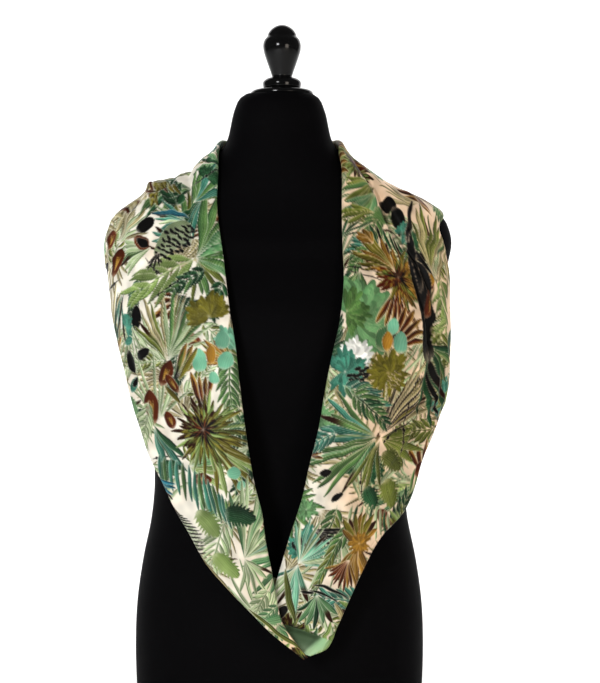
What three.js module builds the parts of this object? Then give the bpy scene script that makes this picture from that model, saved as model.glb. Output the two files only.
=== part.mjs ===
// Loop scarf on a dress form.
// Millimetres, +Z up, the chest faces -Y, the origin is the middle of the flat base.
import * as THREE from "three";

// Driving sizes
const CLOTH_WALL = 1.8;
const SEAM_GAP = 0.3;
const CLEAR = 1.2; // least height of the cloth's middle over the surface it lies on
const ROLL_HEIGHT = 7; // from the face down to the edge turned under
const FORM_SIDES = 34;
const KNOB_SIDES = 24;
const KNOB_X = 3; // the knob sits a little off the middle of the neck

// Form, a row for each level: height, half width, depth to the chest, depth to the back, squareness
const FORM_LEVELS = [
  { z: 0, half: 168, front: 104, back: 112, square: 2.3 },
  { z: 45, half: 171, front: 107, back: 117, square: 2.3 },
  { z: 95, half: 172, front: 109, back: 119, square: 2.3 },
  { z: 140, half: 170, front: 109, back: 116, square: 2.25 },
  { z: 190, half: 163, front: 107, back: 109, square: 2.2 },
  { z: 240, half: 153, front: 104, back: 101, square: 2.2 },
  { z: 290, half: 149.5, front: 103, back: 97, square: 2.2 },
  { z: 340, half: 155, front: 108, back: 99, square: 2.2 },
  { z: 390, half: 165, front: 121, back: 105, square: 2.15 },
  { z: 440, half: 177, front: 134, back: 109, square: 2.1 },
  { z: 480, half: 187, front: 131, back: 109, square: 2.1 },
  { z: 515, half: 195, front: 117, back: 108, square: 2.1 },
  { z: 542, half: 202, front: 104, back: 104, square: 2.1 },
  { z: 565, half: 206.2, front: 96.5, back: 100.5, square: 2.1 },
  { z: 583, half: 203, front: 86.5, back: 93.5, square: 2.1 },
  { z: 598, half: 194.5, front: 79.5, back: 88.5, square: 2.1 },
  { z: 611, half: 173, front: 74.5, back: 84.5, square: 2.1 },
  { z: 624, half: 147, front: 70.5, back: 80.5, square: 2.1 },
  { z: 638, half: 119, front: 67.5, back: 76.5, square: 2.1 },
  { z: 651, half: 97, front: 64.5, back: 72.5, square: 2.1 },
  { z: 664, half: 81, front: 61.5, back: 68.5, square: 2.1 },
  { z: 677, half: 69.5, front: 58.5, back: 64, square: 2.05 },
  { z: 690, half: 62.5, front: 55.5, back: 60, square: 2 },
  { z: 704, half: 59, front: 53, back: 57, square: 2 },
  { z: 719, half: 56, front: 51, back: 54, square: 2 },
  { z: 731, half: 52, front: 48, back: 50, square: 2 },
  { z: 739, half: 48, front: 44, back: 45, square: 2 },
  { z: 744, half: 41, front: 38, back: 39, square: 2 },
];

// Turned pieces, a row for each ring: height, radius
const CAP_RINGS = [
  { z: 744.3, radius: 37.5 },
  { z: 747, radius: 37 },
  { z: 749.6, radius: 33 },
  { z: 750.6, radius: 26 },
];
const KNOB_RINGS = [
  { z: 750.9, radius: 21.6 },
  { z: 754, radius: 22.8 },
  { z: 759.5, radius: 22.6 },
  { z: 763.2, radius: 18.5 },
  { z: 765.2, radius: 12.8 },
  { z: 769, radius: 13.1 },
  { z: 778, radius: 16.2 },
  { z: 790, radius: 20.4 },
  { z: 798, radius: 22.5 },
  { z: 804, radius: 22.8 },
  { z: 810, radius: 21 },
  { z: 814.2, radius: 17.6 },
  { z: 817, radius: 16.9 },
  { z: 821.5, radius: 14 },
  { z: 825.5, radius: 9 },
  { z: 827.6, radius: 4 },
];

// Surface the cloth lies on, a row for each level: height, half width, depth to the chest, depth to the back.
// Below the bust the cloth hangs straight, clear of the belly.
const DRAPE_LEVELS = [
  { z: 40, half: 190, front: 134, back: 132 },
  { z: 100, half: 194, front: 137, back: 134 },
  { z: 200, half: 198, front: 141, back: 128 },
  { z: 300, half: 200, front: 145, back: 120 },
  { z: 400, half: 202, front: 148, back: 114 },
  { z: 440, half: 203, front: 148, back: 113 },
  { z: 480, half: 204, front: 142, back: 113 },
  { z: 520, half: 205, front: 124, back: 112 },
  { z: 545, half: 205.5, front: 108, back: 108 },
  { z: 565, half: 206.5, front: 98, back: 102 },
  { z: 583, half: 203.5, front: 88, back: 95 },
  { z: 598, half: 196, front: 81, back: 90 },
  { z: 611, half: 175, front: 76, back: 86 },
  { z: 624, half: 149, front: 72, back: 82 },
  { z: 638, half: 121, front: 69, back: 78 },
  { z: 651, half: 99, front: 66, back: 74 },
  { z: 664, half: 83, front: 63, back: 70 },
  { z: 677, half: 72, front: 61, back: 66 },
  { z: 690, half: 66, front: 59, back: 63 },
  { z: 704, half: 63, front: 57, back: 61 },
  { z: 725, half: 58, front: 53, back: 56 },
];
const DRAPE_SQUARE = 2.12;

// Path of the loop, from the lowest point up the left of the picture, round the nape and down the right.
// A row for each station: inner edge, outer edge, height of the cloth's face over the drape at both edges.
const STATIONS = [
  { inner: [32, -137, 91.5], outer: [27.5, -138, 89], lift: [16, 16] }, // 0, the tip
  { inner: [14, -138, 115], outer: [8, -139, 105], lift: [16, 15] },
  { inner: [3, -139, 135], outer: [-11, -139, 121], lift: [16, 14] },
  { inner: [-3, -140, 166], outer: [-34, -137, 145], lift: [15, 13] },
  { inner: [-8, -141, 193], outer: [-57, -133, 169], lift: [14, 12] },
  { inner: [-14, -142, 223], outer: [-80, -128, 197], lift: [12, 11] }, // 5
  { inner: [-18, -143, 254], outer: [-98.5, -123, 230], lift: [11, 10] },
  { inner: [-26, -144, 285], outer: [-114.5, -117, 258], lift: [10, 10] },
  { inner: [-32, -145, 319], outer: [-128, -110, 288], lift: [10, 10] },
  { inner: [-38, -147, 359], outer: [-141, -102, 315], lift: [10, 10] },
  { inner: [-43, -148, 399], outer: [-155, -95, 353], lift: [10, 10] }, // 10
  { inner: [-48, -148, 443], outer: [-167, -84, 394], lift: [10, 10] },
  { inner: [-55, -138, 486], outer: [-178, -72, 436], lift: [10, 9] },
  { inner: [-63, -110, 542], outer: [-187, -57, 473], lift: [10, 8] },
  { inner: [-71, -79, 599], outer: [-193, -43, 508], lift: [10, 7] },
  { inner: [-71, -61, 642], outer: [-199, -26, 530], lift: [10, 4] }, // 15
  { inner: [-69, -26, 672], outer: [-202, -6, 538], lift: [8, 3] },
  { inner: [-64, 10, 688], outer: [-201, 18, 544], lift: [7, 3] }, // 17, top of the shoulder
  { inner: [-58, 36, 690], outer: [-187, 54, 552], lift: [7, 4] },
  { inner: [-43, 58, 689], outer: [-146, 88, 564], lift: [8, 8] },
  { inner: [-22, 68, 687], outer: [-80, 108, 570], lift: [8, 9] }, // 20
  { inner: [0, 70, 686], outer: [0, 112, 570], lift: [8, 9] }, // 21, the nape
  { inner: [22, 68, 687], outer: [76, 108, 573], lift: [8, 9] },
  { inner: [43, 58, 689], outer: [130, 90, 582], lift: [8, 9] },
  { inner: [58, 36, 690], outer: [164, 54, 593], lift: [8, 7] },
  { inner: [64, 10, 688], outer: [176, 14, 598], lift: [8, 4] }, // 25, top of the shoulder
  { inner: [69, -26, 675], outer: [180, -16, 590], lift: [8, 4] },
  { inner: [73, -49, 656], outer: [186, -41, 578], lift: [9, 6] },
  { inner: [73, -73, 613], outer: [192, -45, 554], lift: [9, 9] },
  { inner: [73, -95, 565], outer: [196, -45, 519], lift: [10, 9] },
  { inner: [74, -121, 518], outer: [196, -47, 483], lift: [10, 9] }, // 30
  { inner: [69, -139, 472], outer: [196, -48, 444], lift: [10, 9] },
  { inner: [60, -145, 432], outer: [194, -48, 409], lift: [10, 9] },
  { inner: [52, -146, 391], outer: [187, -61, 377], lift: [10, 10] },
  { inner: [45, -145, 350], outer: [174.5, -76, 345], lift: [10, 10] },
  { inner: [35, -144, 309], outer: [158.5, -91, 307], lift: [9, 10] }, // 35
  { inner: [26, -143, 268], outer: [141, -101, 257], lift: [7, 10] },
  { inner: [13, -142, 227], outer: [112, -116, 224], lift: [4, 9] },
  { inner: [3, -141, 193], outer: [93.5, -123, 187], lift: [2, 8] },
  { inner: [-4, -140, 168], outer: [82, -127, 160], lift: [1, 7] },
  { inner: [-6, -139, 148], outer: [72, -129, 136], lift: [1, 6] }, // 40
  { inner: [-2, -139, 132], outer: [65, -131, 119], lift: [1, 5] },
  { inner: [4, -138, 119], outer: [61, -132, 107], lift: [1, 4] },
  { inner: [12, -138, 107], outer: [54, -133, 97], lift: [1, 3] },
  { inner: [22, -137, 95], outer: [37, -136, 90], lift: [1, 2] }, // 44, behind the tip
];

// Folds that run along the loop, a row for each: stations from and to, place across at both ends, rise, half width in mm
const FOLDS = [
  { from: 14, to: 19, start: 0.12, end: 0.14, rise: 1.5, half: 12 },
  { from: 13.6, to: 18, start: 0.22, end: 0.26, rise: -3.5, half: 7 },
  { from: 14.4, to: 18.5, start: 0.42, end: 0.4, rise: 6, half: 18 },
  { from: 15, to: 18.4, start: 0.5, end: 0.48, rise: 6, half: 10 },
  { from: 14, to: 18.5, start: 0.7, end: 0.66, rise: -3.5, half: 14 },
  { from: 3, to: 13, start: 0.3, end: 0.36, rise: 2.5, half: 16 },
  { from: 5, to: 14, start: 0.62, end: 0.55, rise: -2.5, half: 14 },
  { from: 17.5, to: 25.5, start: 0.3, end: 0.34, rise: -5, half: 9 },
  { from: 18, to: 25, start: 0.52, end: 0.5, rise: 4.5, half: 13 },
  { from: 17.5, to: 25, start: 0.74, end: 0.68, rise: -5, half: 9 },
  { from: 25.4, to: 32.2, start: 0.12, end: 0.82, rise: -8, half: 8 },
  { from: 26.5, to: 33.6, start: 0.42, end: 0.98, rise: 4, half: 11 },
  { from: 26, to: 33, start: 0.02, end: 0.62, rise: 3, half: 16 },
  { from: 31.5, to: 35, start: 0.7, end: 0.78, rise: -4, half: 6 },
  { from: 33, to: 39, start: 0.4, end: 0.5, rise: 2.5, half: 15 },
];

// Crease across the right band over the pocket: station, depth, half length in stations
const POCKET = { station: 41.5, depth: 5, half: 0.5 };

// Stretches of the loop, a row for each: name, stations from and to, rows along, rows across the face
const STRETCHES = [
  { name: "scarf_left", from: 0, to: 16.4, along: 40, across: 17 },
  { name: "scarf_back", from: 16.4, to: 25.7, along: 26, across: 15 },
  { name: "scarf_right", from: 25.7, to: 44, along: 46, across: 18 },
];

// Value of one column of a table at a height, on a smooth curve through its rows
function curveAt(rows, column, z) {
  const last = rows.length - 1;
  const h = Math.min(Math.max(z, rows[0].z), rows[last].z);
  let k = 0;
  while (k < last - 1 && h > rows[k + 1].z) k++;
  const slope = (i) => {
    const a = rows[Math.max(i - 1, 0)];
    const b = rows[Math.min(i + 1, last)];
    return (b[column] - a[column]) / (b.z - a.z);
  };
  const step = rows[k + 1].z - rows[k].z;
  const t = (h - rows[k].z) / step;
  return hermite(rows[k][column], rows[k + 1][column], slope(k) * step, slope(k + 1) * step, t);
}

function hermite(a, b, slopeA, slopeB, t) {
  const t2 = t * t;
  const t3 = t2 * t;
  return (2 * t3 - 3 * t2 + 1) * a + (t3 - 2 * t2 + t) * slopeA + (3 * t2 - 2 * t3) * b + (t3 - t2) * slopeB;
}

function smooth(a, b, value) {
  const t = Math.min(Math.max((value - a) / (b - a), 0), 1);
  return t * t * (3 - 2 * t);
}

// How far out a point is from the drape: 1 on it, more outside
function drapeReach(p) {
  const half = curveAt(DRAPE_LEVELS, "half", p.z);
  const depth = curveAt(DRAPE_LEVELS, p.y < 0 ? "front" : "back", p.z);
  return (Math.abs(p.x / half) ** DRAPE_SQUARE + Math.abs(p.y / depth) ** DRAPE_SQUARE) ** (1 / DRAPE_SQUARE);
}

// Way out of the drape at a point, with its length the distance in mm for a reach of 1
function drapeSlope(p) {
  const d = 0.5;
  const along = (axis) => {
    const a = p.clone();
    const b = p.clone();
    a[axis] -= d;
    b[axis] += d;
    return (drapeReach(b) - drapeReach(a)) / (2 * d);
  };
  return new THREE.Vector3(along("x"), along("y"), along("z"));
}

// Point moved on to the drape, and the way out there
function onDrape(p) {
  const q = p.clone();
  for (let turn = 0; turn < 8; turn++) {
    const slope = drapeSlope(q);
    q.addScaledVector(slope, (1 - drapeReach(q)) / slope.lengthSq());
  }
  return { point: q, out: drapeSlope(q).normalize() };
}

// Place between two stations, on a smooth curve through the rows
function stationAt(s) {
  const last = STATIONS.length - 1;
  const k = Math.min(Math.max(Math.floor(s), 0), last - 1);
  const t = s - k;
  const blend = (pick) => {
    const before = pick(STATIONS[Math.max(k - 1, 0)]);
    const a = pick(STATIONS[k]);
    const b = pick(STATIONS[k + 1]);
    const after = pick(STATIONS[Math.min(k + 2, last)]);
    return hermite(a, b, (b - before) / 2, (after - a) / 2, t);
  };
  const edge = (side) => new THREE.Vector3(...[0, 1, 2].map((axis) => blend((row) => row[side][axis])));
  return {
    inner: edge("inner"),
    outer: edge("outer"),
    liftInner: blend((row) => row.lift[0]),
    liftOuter: blend((row) => row.lift[1]),
  };
}

// Rise of the folds at a place on the loop: s along, v across, width of the band there
function foldRise(s, v, width) {
  let rise = 0;
  for (const fold of FOLDS) {
    if (s <= fold.from || s >= fold.to) continue;
    const t = (s - fold.from) / (fold.to - fold.from);
    const fade = smooth(0, 0.25, t) * smooth(0, 0.25, 1 - t);
    const off = ((v - (fold.start + (fold.end - fold.start) * t)) * width) / fold.half;
    rise += fold.rise * fade * Math.exp(-off * off);
  }
  return rise;
}

// Section of the band: a list of places across with the share of the face's height each has.
// Both edges turn under on a soft roll and come back a little way beneath the face.
const ROLL = [
  { back: 12, level: 0 },
  { back: 3, level: 0.02 },
  { back: 0, level: 0.34 },
  { back: 0.4, level: 0.74 },
  { back: 3.6, level: 1 },
];
// Stations where the left band's outer edge lies flat on the shoulder with no turned edge
const FLAT_EDGE = { from: 14.5, full: 15.6, until: 17.6, to: 18.8 };
// Stations beyond which both bands hang clear of the form
const HANGS = { left: 11.5, right: 33.5 };

// One row of points across the band at a place on the loop
function bandRow(s, across) {
  const station = stationAt(s);
  const width = station.inner.distanceTo(station.outer);
  const short = Math.min(1, width / 70);
  const flat = smooth(FLAT_EDGE.from, FLAT_EDGE.full, s) * (1 - smooth(FLAT_EDGE.until, FLAT_EDGE.to, s));
  const last = ROLL.length - 1;
  const innerEdge = ROLL.map((step) => ({ v: (step.back * short) / width, level: step.level }));
  const outerEdge = ROLL.map((step, k) => {
    const back = step.back * (1 - flat) + 0.9 * k * flat;
    return { v: 1 - (back * short) / width, level: step.level + (1 - step.level) * flat };
  }).reverse();
  const face = [];
  const start = innerEdge[last].v;
  const end = outerEdge[0].v;
  for (let j = 1; j < across; j++) face.push({ v: start + ((end - start) * j) / across, level: 1 });
  return [...innerEdge, ...face, ...outerEdge].map(({ v, level }) => {
    const base = onDrape(station.inner.clone().lerp(station.outer, v));
    const lift = station.liftInner + (station.liftOuter - station.liftInner) * v;
    const crease = POCKET.depth * Math.exp(-(((s - POCKET.station) / POCKET.half) ** 2)) * smooth(0.9, 0.2, v);
    const hangs = s < HANGS.left || s > HANGS.right;
    const least = hangs ? -12 : CLEAR;
    const top = Math.max(lift + foldRise(s, v, width) - crease, least);
    const under = Math.max(lift - ROLL_HEIGHT, least);
    return base.point.addScaledVector(base.out, under + (top - under) * level);
  });
}

// Closed wall of even thickness round a grid of points, half of it on each side
function wallOf(grid, thickness) {
  const rows = grid.length;
  const columns = grid[0].length;
  const corners = [];
  for (const side of [1, -1]) {
    for (let i = 0; i < rows; i++) {
      for (let j = 0; j < columns; j++) {
        const alongWay = grid[Math.min(i + 1, rows - 1)][j].clone().sub(grid[Math.max(i - 1, 0)][j]);
        const acrossWay = grid[i][Math.min(j + 1, columns - 1)].clone().sub(grid[i][Math.max(j - 1, 0)]);
        const out = acrossWay.cross(alongWay).normalize();
        corners.push(grid[i][j].clone().addScaledVector(out, (side * thickness) / 2));
      }
    }
  }
  const size = rows * columns;
  const at = (side, i, j) => side * size + i * columns + j;
  const faces = [];
  const quad = (a, b, c, d) => faces.push([a, b, c], [a, c, d]);
  for (let i = 0; i + 1 < rows; i++) {
    for (let j = 0; j + 1 < columns; j++) {
      quad(at(0, i, j), at(0, i, j + 1), at(0, i + 1, j + 1), at(0, i + 1, j));
      quad(at(1, i, j), at(1, i + 1, j), at(1, i + 1, j + 1), at(1, i, j + 1));
    }
    quad(at(0, i, 0), at(0, i + 1, 0), at(1, i + 1, 0), at(1, i, 0));
    quad(at(0, i + 1, columns - 1), at(0, i, columns - 1), at(1, i, columns - 1), at(1, i + 1, columns - 1));
  }
  for (let j = 0; j + 1 < columns; j++) {
    quad(at(0, 0, j + 1), at(0, 0, j), at(1, 0, j), at(1, 0, j + 1));
    quad(at(0, rows - 1, j), at(0, rows - 1, j + 1), at(1, rows - 1, j + 1), at(1, rows - 1, j));
  }
  return solidOf(corners, faces);
}

// Closed body through a list of rings, each from below up and anticlockwise seen from above
function loft(rings) {
  const sides = rings[0].length;
  const corners = rings.flat();
  const faces = [];
  for (let i = 0; i + 1 < rings.length; i++) {
    for (let j = 0; j < sides; j++) {
      const k = (j + 1) % sides;
      const a = i * sides;
      const b = a + sides;
      faces.push([a + j, a + k, b + k], [a + j, b + k, b + j]);
    }
  }
  for (const [ring, top] of [[0, false], [rings.length - 1, true]]) {
    const middle = corners.length;
    corners.push(rings[ring].reduce((sum, p) => sum.add(p), new THREE.Vector3()).divideScalar(sides));
    for (let j = 0; j < sides; j++) {
      const k = (j + 1) % sides;
      faces.push(top ? [ring * sides + j, ring * sides + k, middle] : [k, j, middle]);
    }
  }
  return solidOf(corners, faces);
}

function solidOf(corners, faces) {
  const geometry = new THREE.BufferGeometry();
  geometry.setAttribute("position", new THREE.Float32BufferAttribute(corners.flatMap((p) => p.toArray()), 3));
  geometry.setIndex(faces.flat());
  geometry.computeVertexNormals();
  return geometry;
}

// Ring of the form at one level
function formRing(row) {
  const ring = [];
  for (let j = 0; j < FORM_SIDES; j++) {
    const angle = (2 * Math.PI * j) / FORM_SIDES;
    const c = Math.cos(angle);
    const s = Math.sin(angle);
    const depth = s < 0 ? row.front : row.back;
    const x = row.half * Math.sign(c) * Math.abs(c) ** (2 / row.square);
    const y = depth * Math.sign(s) * Math.abs(s) ** (2 / row.square);
    ring.push(new THREE.Vector3(x, y, row.z));
  }
  return ring;
}

function turnedRing(row) {
  const ring = [];
  for (let j = 0; j < KNOB_SIDES; j++) {
    const angle = (2 * Math.PI * j) / KNOB_SIDES;
    ring.push(new THREE.Vector3(KNOB_X + row.radius * Math.cos(angle), row.radius * Math.sin(angle), row.z));
  }
  return ring;
}

// Cloth turned under at the loop's lowest point: a trough that stands behind both bands' lower edges.
// A row for each station: lowest point of the trough, height of its front and back walls
const TURN = [
  { low: [-74, -125, 200], front: 6, back: 22 },
  { low: [-54, -129, 176], front: 8, back: 30 },
  { low: [-32, -131, 151], front: 9, back: 40 },
  { low: [-8, -126, 130], front: 9, back: 50 },
  { low: [14, -122, 112], front: 9, back: 56 },
  { low: [32, -121, 101], front: 9, back: 58 },
  { low: [48, -120, 106], front: 9, back: 52 },
  { low: [58, -117, 124], front: 8, back: 42 },
  { low: [66, -114, 147], front: 6, back: 32 },
];
const TURN_RADIUS = 6;

// Section of the trough: down the front wall, round the bottom and up the back wall
function turnRow(row) {
  const [x, y, z] = row.low;
  const points = [new THREE.Vector3(x, y - TURN_RADIUS, z + row.front)];
  for (let j = 0; j <= 6; j++) {
    const angle = (Math.PI * j) / 6;
    const above = TURN_RADIUS * (1 - Math.sin(angle));
    points.push(new THREE.Vector3(x, y - TURN_RADIUS * Math.cos(angle), z + above));
  }
  for (let j = 1; j <= 4; j++) {
    points.push(new THREE.Vector3(x, y + TURN_RADIUS - j * 0.5, z + TURN_RADIUS + ((row.back - TURN_RADIUS) * j) / 4));
  }
  return points;
}

const CLOTH = new THREE.MeshStandardMaterial({ name: "printed_silk", color: 0x8fae7c, roughness: 0.5, metalness: 0 });
const JERSEY = new THREE.MeshStandardMaterial({ name: "black_jersey", color: 0x0c0c0d, roughness: 0.75, metalness: 0 });
const LACQUER = new THREE.MeshStandardMaterial({ name: "black_lacquer", color: 0x060606, roughness: 0.15, metalness: 0 });

const scene = new THREE.Group();
function add(name, geometry, material) {
  const mesh = new THREE.Mesh(geometry, material);
  mesh.name = name;
  scene.add(mesh);
}

add("form_body", loft(FORM_LEVELS.map(formRing)), JERSEY);
add("neck_cap", loft(CAP_RINGS.map(turnedRing)), LACQUER);
add("knob", loft(KNOB_RINGS.map(turnedRing)), LACQUER);

// Trim of a stretch's ends in stations, for the gap at each seam
const TRIM = SEAM_GAP / 2 / 22;
for (const stretch of STRETCHES) {
  const grid = [];
  for (let i = 0; i <= stretch.along; i++) {
    const t = i / stretch.along;
    const s = stretch.from + TRIM + (stretch.to - stretch.from - 2 * TRIM) * t;
    grid.push(bandRow(s, stretch.across));
  }
  add(stretch.name, wallOf(grid, CLOTH_WALL), CLOTH);
}
add("scarf_turn", wallOf(TURN.map(turnRow), CLOTH_WALL), CLOTH);

export default scene;
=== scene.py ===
# Looks of the loop scarf on a dress form.
# The shape tables are in millimetres, +Z up, with the chest facing -Y. Meshes are made in metres.
import math

import bpy
import numpy as np
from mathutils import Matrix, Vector


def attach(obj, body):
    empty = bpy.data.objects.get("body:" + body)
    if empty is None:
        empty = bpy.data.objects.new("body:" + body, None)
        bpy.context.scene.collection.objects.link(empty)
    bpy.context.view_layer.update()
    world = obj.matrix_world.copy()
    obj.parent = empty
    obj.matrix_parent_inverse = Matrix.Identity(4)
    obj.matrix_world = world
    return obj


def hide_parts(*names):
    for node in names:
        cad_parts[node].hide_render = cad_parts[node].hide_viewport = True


MM = 0.001


# Tables
def table(columns, rows):
    """Short table as a dictionary of number columns."""
    return {name: np.array([row[k] for row in rows], float) for k, name in enumerate(columns)}


# Form: height, half width, depth to the chest, depth to the back, squareness of the level
FORM_LEVELS = table(("z", "half", "front", "back", "square"), [
    (0, 168, 104, 112, 2.3),
    (45, 171, 107, 117, 2.3),
    (95, 172, 109, 119, 2.3),
    (140, 170, 109, 116, 2.25),
    (190, 163, 107, 109, 2.2),
    (240, 153, 104, 101, 2.2),
    (290, 149.5, 103, 97, 2.2),
    (340, 155, 108, 99, 2.2),
    (390, 165, 121, 105, 2.15),
    (440, 177, 134, 109, 2.1),
    (480, 187, 131, 109, 2.1),
    (515, 195, 117, 108, 2.1),
    (542, 202, 104, 104, 2.1),
    (565, 206.2, 96.5, 100.5, 2.1),
    (583, 203, 86.5, 93.5, 2.1),
    (598, 194.5, 79.5, 88.5, 2.1),
    (611, 173, 74.5, 84.5, 2.1),
    (624, 147, 70.5, 80.5, 2.1),
    (638, 119, 67.5, 76.5, 2.1),
    (651, 97, 64.5, 72.5, 2.1),
    (664, 81, 61.5, 68.5, 2.1),
    (677, 69.5, 58.5, 64, 2.05),
    (690, 62.5, 55.5, 60, 2),
    (704, 59, 53, 57, 2),
    (719, 56, 51, 54, 2),
    (731, 52, 48, 50, 2),
    (739, 48, 44, 45, 2),
    (744, 41, 38, 39, 2),
])

# Turned pieces: height, radius
CAP_RINGS = table(("z", "radius"), [(744.3, 37.5), (747, 37), (749.6, 33), (750.6, 26)])
KNOB_RINGS = table(("z", "radius"), [
    (750.9, 21.6),
    (754, 22.8),
    (759.5, 22.6),
    (763.2, 18.5),
    (765.2, 12.8),
    (769, 13.1),
    (778, 16.2),
    (790, 20.4),
    (798, 22.5),
    (804, 22.8),
    (810, 21),
    (814.2, 17.6),
    (817, 16.9),
    (821.5, 14),
    (825.5, 9),
    (827.6, 4),
])
KNOB_X = 3

# Surface the cloth lies on: height, half width, depth to the chest, depth to the back
DRAPE_LEVELS = table(("z", "half", "front", "back"), [
    (40, 190, 134, 132),
    (100, 194, 137, 134),
    (200, 198, 141, 128),
    (300, 200, 145, 120),
    (400, 202, 148, 114),
    (440, 203, 148, 113),
    (480, 204, 142, 113),
    (520, 205, 124, 112),
    (545, 205.5, 108, 108),
    (565, 206.5, 98, 102),
    (583, 203.5, 88, 95),
    (598, 196, 81, 90),
    (611, 175, 76, 86),
    (624, 149, 72, 82),
    (638, 121, 69, 78),
    (651, 99, 66, 74),
    (664, 83, 63, 70),
    (677, 72, 61, 66),
    (690, 66, 59, 63),
    (704, 63, 57, 61),
    (725, 58, 53, 56),
])
DRAPE_SQUARE = 2.12
DRAPE_ROUNDS = 8

# Path of the loop, from its lowest point up the left of the picture, round the nape and down the right:
# inner edge x, y, z, outer edge x, y, z, height of the face over the drape at both edges
STATIONS = [
    (32, -137, 91.5, 27.5, -138, 89, 16, 16),  # 0, the tip
    (14, -138, 115, 8, -139, 105, 16, 15),
    (3, -139, 135, -11, -139, 121, 16, 14),
    (-3, -140, 166, -34, -137, 145, 15, 13),
    (-8, -141, 193, -57, -133, 169, 14, 12),
    (-14, -142, 223, -80, -128, 197, 12, 11),  # 5
    (-18, -143, 254, -98.5, -123, 230, 11, 10),
    (-26, -144, 285, -114.5, -117, 258, 10, 10),
    (-32, -145, 319, -128, -110, 288, 10, 10),
    (-38, -147, 359, -141, -102, 315, 10, 10),
    (-43, -148, 399, -155, -95, 353, 10, 10),  # 10
    (-48, -148, 443, -167, -84, 394, 10, 10),
    (-55, -138, 486, -178, -72, 436, 10, 9),
    (-63, -110, 542, -187, -57, 473, 10, 8),
    (-71, -79, 599, -193, -43, 508, 10, 7),
    (-71, -61, 642, -199, -26, 530, 10, 4),  # 15
    (-69, -26, 672, -202, -6, 538, 8, 3),
    (-64, 10, 688, -201, 18, 544, 7, 3),  # 17, top of the shoulder
    (-58, 36, 690, -187, 54, 552, 7, 4),
    (-43, 58, 689, -146, 88, 564, 8, 8),
    (-22, 68, 687, -80, 108, 570, 8, 9),  # 20
    (0, 70, 686, 0, 112, 570, 8, 9),  # 21, the nape
    (22, 68, 687, 76, 108, 573, 8, 9),
    (43, 58, 689, 130, 90, 582, 8, 9),
    (58, 36, 690, 164, 54, 593, 8, 7),
    (64, 10, 688, 176, 14, 598, 8, 4),  # 25, top of the shoulder
    (69, -26, 675, 180, -16, 590, 8, 4),
    (73, -49, 656, 186, -41, 578, 9, 6),
    (73, -73, 613, 192, -45, 554, 9, 9),
    (73, -95, 565, 196, -45, 519, 10, 9),
    (74, -121, 518, 196, -47, 483, 10, 9),  # 30
    (69, -139, 472, 196, -48, 444, 10, 9),
    (60, -145, 432, 194, -48, 409, 10, 9),
    (52, -146, 391, 187, -61, 377, 10, 10),
    (45, -145, 350, 174.5, -76, 345, 10, 10),
    (35, -144, 309, 158.5, -91, 307, 9, 10),  # 35
    (26, -143, 268, 141, -101, 257, 7, 10),
    (13, -142, 227, 112, -116, 224, 4, 9),
    (3, -141, 193, 93.5, -123, 187, 2, 8),
    (-4, -140, 168, 82, -127, 160, 1, 7),
    (-6, -139, 148, 72, -129, 136, 1, 6),  # 40
    (-2, -139, 132, 65, -131, 119, 1, 5),
    (4, -138, 119, 61, -132, 107, 1, 4),
    (12, -138, 107, 54, -133, 97, 1, 3),
    (22, -137, 95, 37, -136, 90, 1, 2),  # 44, behind the tip
]
NAPE = 21
TIP_BEHIND = len(STATIONS) - 1
# Least height of the face where the cloth lies on the form, and where it hangs before and after two stations
CLEAR = 1.2
HANGING_LEAST = -12
HANGS = (11.5, 33.5)
# Height that the turned edges take up, and the width below which they turn less far
ROLL_HEIGHT = 7
NARROW_BAND = 70
# Stations between which the outer edge lies flat, and the gap between its rows
FLAT_EDGE = (14.5, 15.6, 17.6, 18.8)
FLAT_EDGE_GAP = 0.9

# Turned edge: way back from the edge, share of the face's height. EDGE_STEPS rows of points follow it.
ROLL = ((12, 0), (3, 0.02), (0, 0.34), (0.4, 0.74), (3.6, 1))
EDGE_STEPS = 13

# Folds along the loop: stations from and to, place across at both ends, rise, half width in mm
LONG_FOLDS = [
    (14, 19, 0.12, 0.14, 1.5, 10),
    (13.6, 18, 0.22, 0.26, -3.5, 5),
    (14.4, 18.5, 0.42, 0.4, 6, 18),
    (15, 18.4, 0.5, 0.48, 7, 8),
    (14, 18.5, 0.7, 0.66, -3.5, 14),
    (3, 13, 0.3, 0.36, 2.5, 16),
    (5, 14, 0.62, 0.55, -2.5, 14),
    (17.5, 25.5, 0.3, 0.34, -6, 7),
    (18, 25, 0.52, 0.5, 4.5, 13),
    (17.5, 25, 0.74, 0.68, -6, 7),
    (25.4, 32.2, 0.12, 0.82, -9, 6.5),
    (26.5, 33.6, 0.42, 0.98, 5, 11),
    (26, 33, 0.02, 0.62, 4, 15),
    (31.5, 35, 0.7, 0.78, -4, 6),
    (33, 39, 0.4, 0.5, 2.5, 15),
    # finer ones
    (29, 33.6, 0.62, 0.84, 3, 5),
    (32.6, 35.4, 0.84, 0.62, 2.4, 4),
    (32.7, 36.2, 0.87, 0.78, -2.2, 4),
    (32.6, 34.6, 0.83, 0.5, -2, 4.5),
    (32.4, 34.9, 0.9, 0.93, 2.2, 4),
    (7, 12, 0.82, 0.8, 1.6, 8),
    (9, 15, 0.13, 0.1, 1.6, 9),
    (1, 6, 0.2, 0.14, -1.2, 7),
    (15.2, 19, 0.38, 0.36, -3, 5),
    (18.4, 21.6, 0.14, 0.2, 2.4, 6),
    (20.4, 24.4, 0.86, 0.84, 2.4, 7),
    (21, 25.6, 0.12, 0.1, -2.2, 6),
    (19, 22.4, 0.6, 0.63, -2.4, 5),
    (34, 40, 0.2, 0.3, 1.5, 9),
    (35, 41, 0.72, 0.62, -1.4, 8),
]

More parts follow.
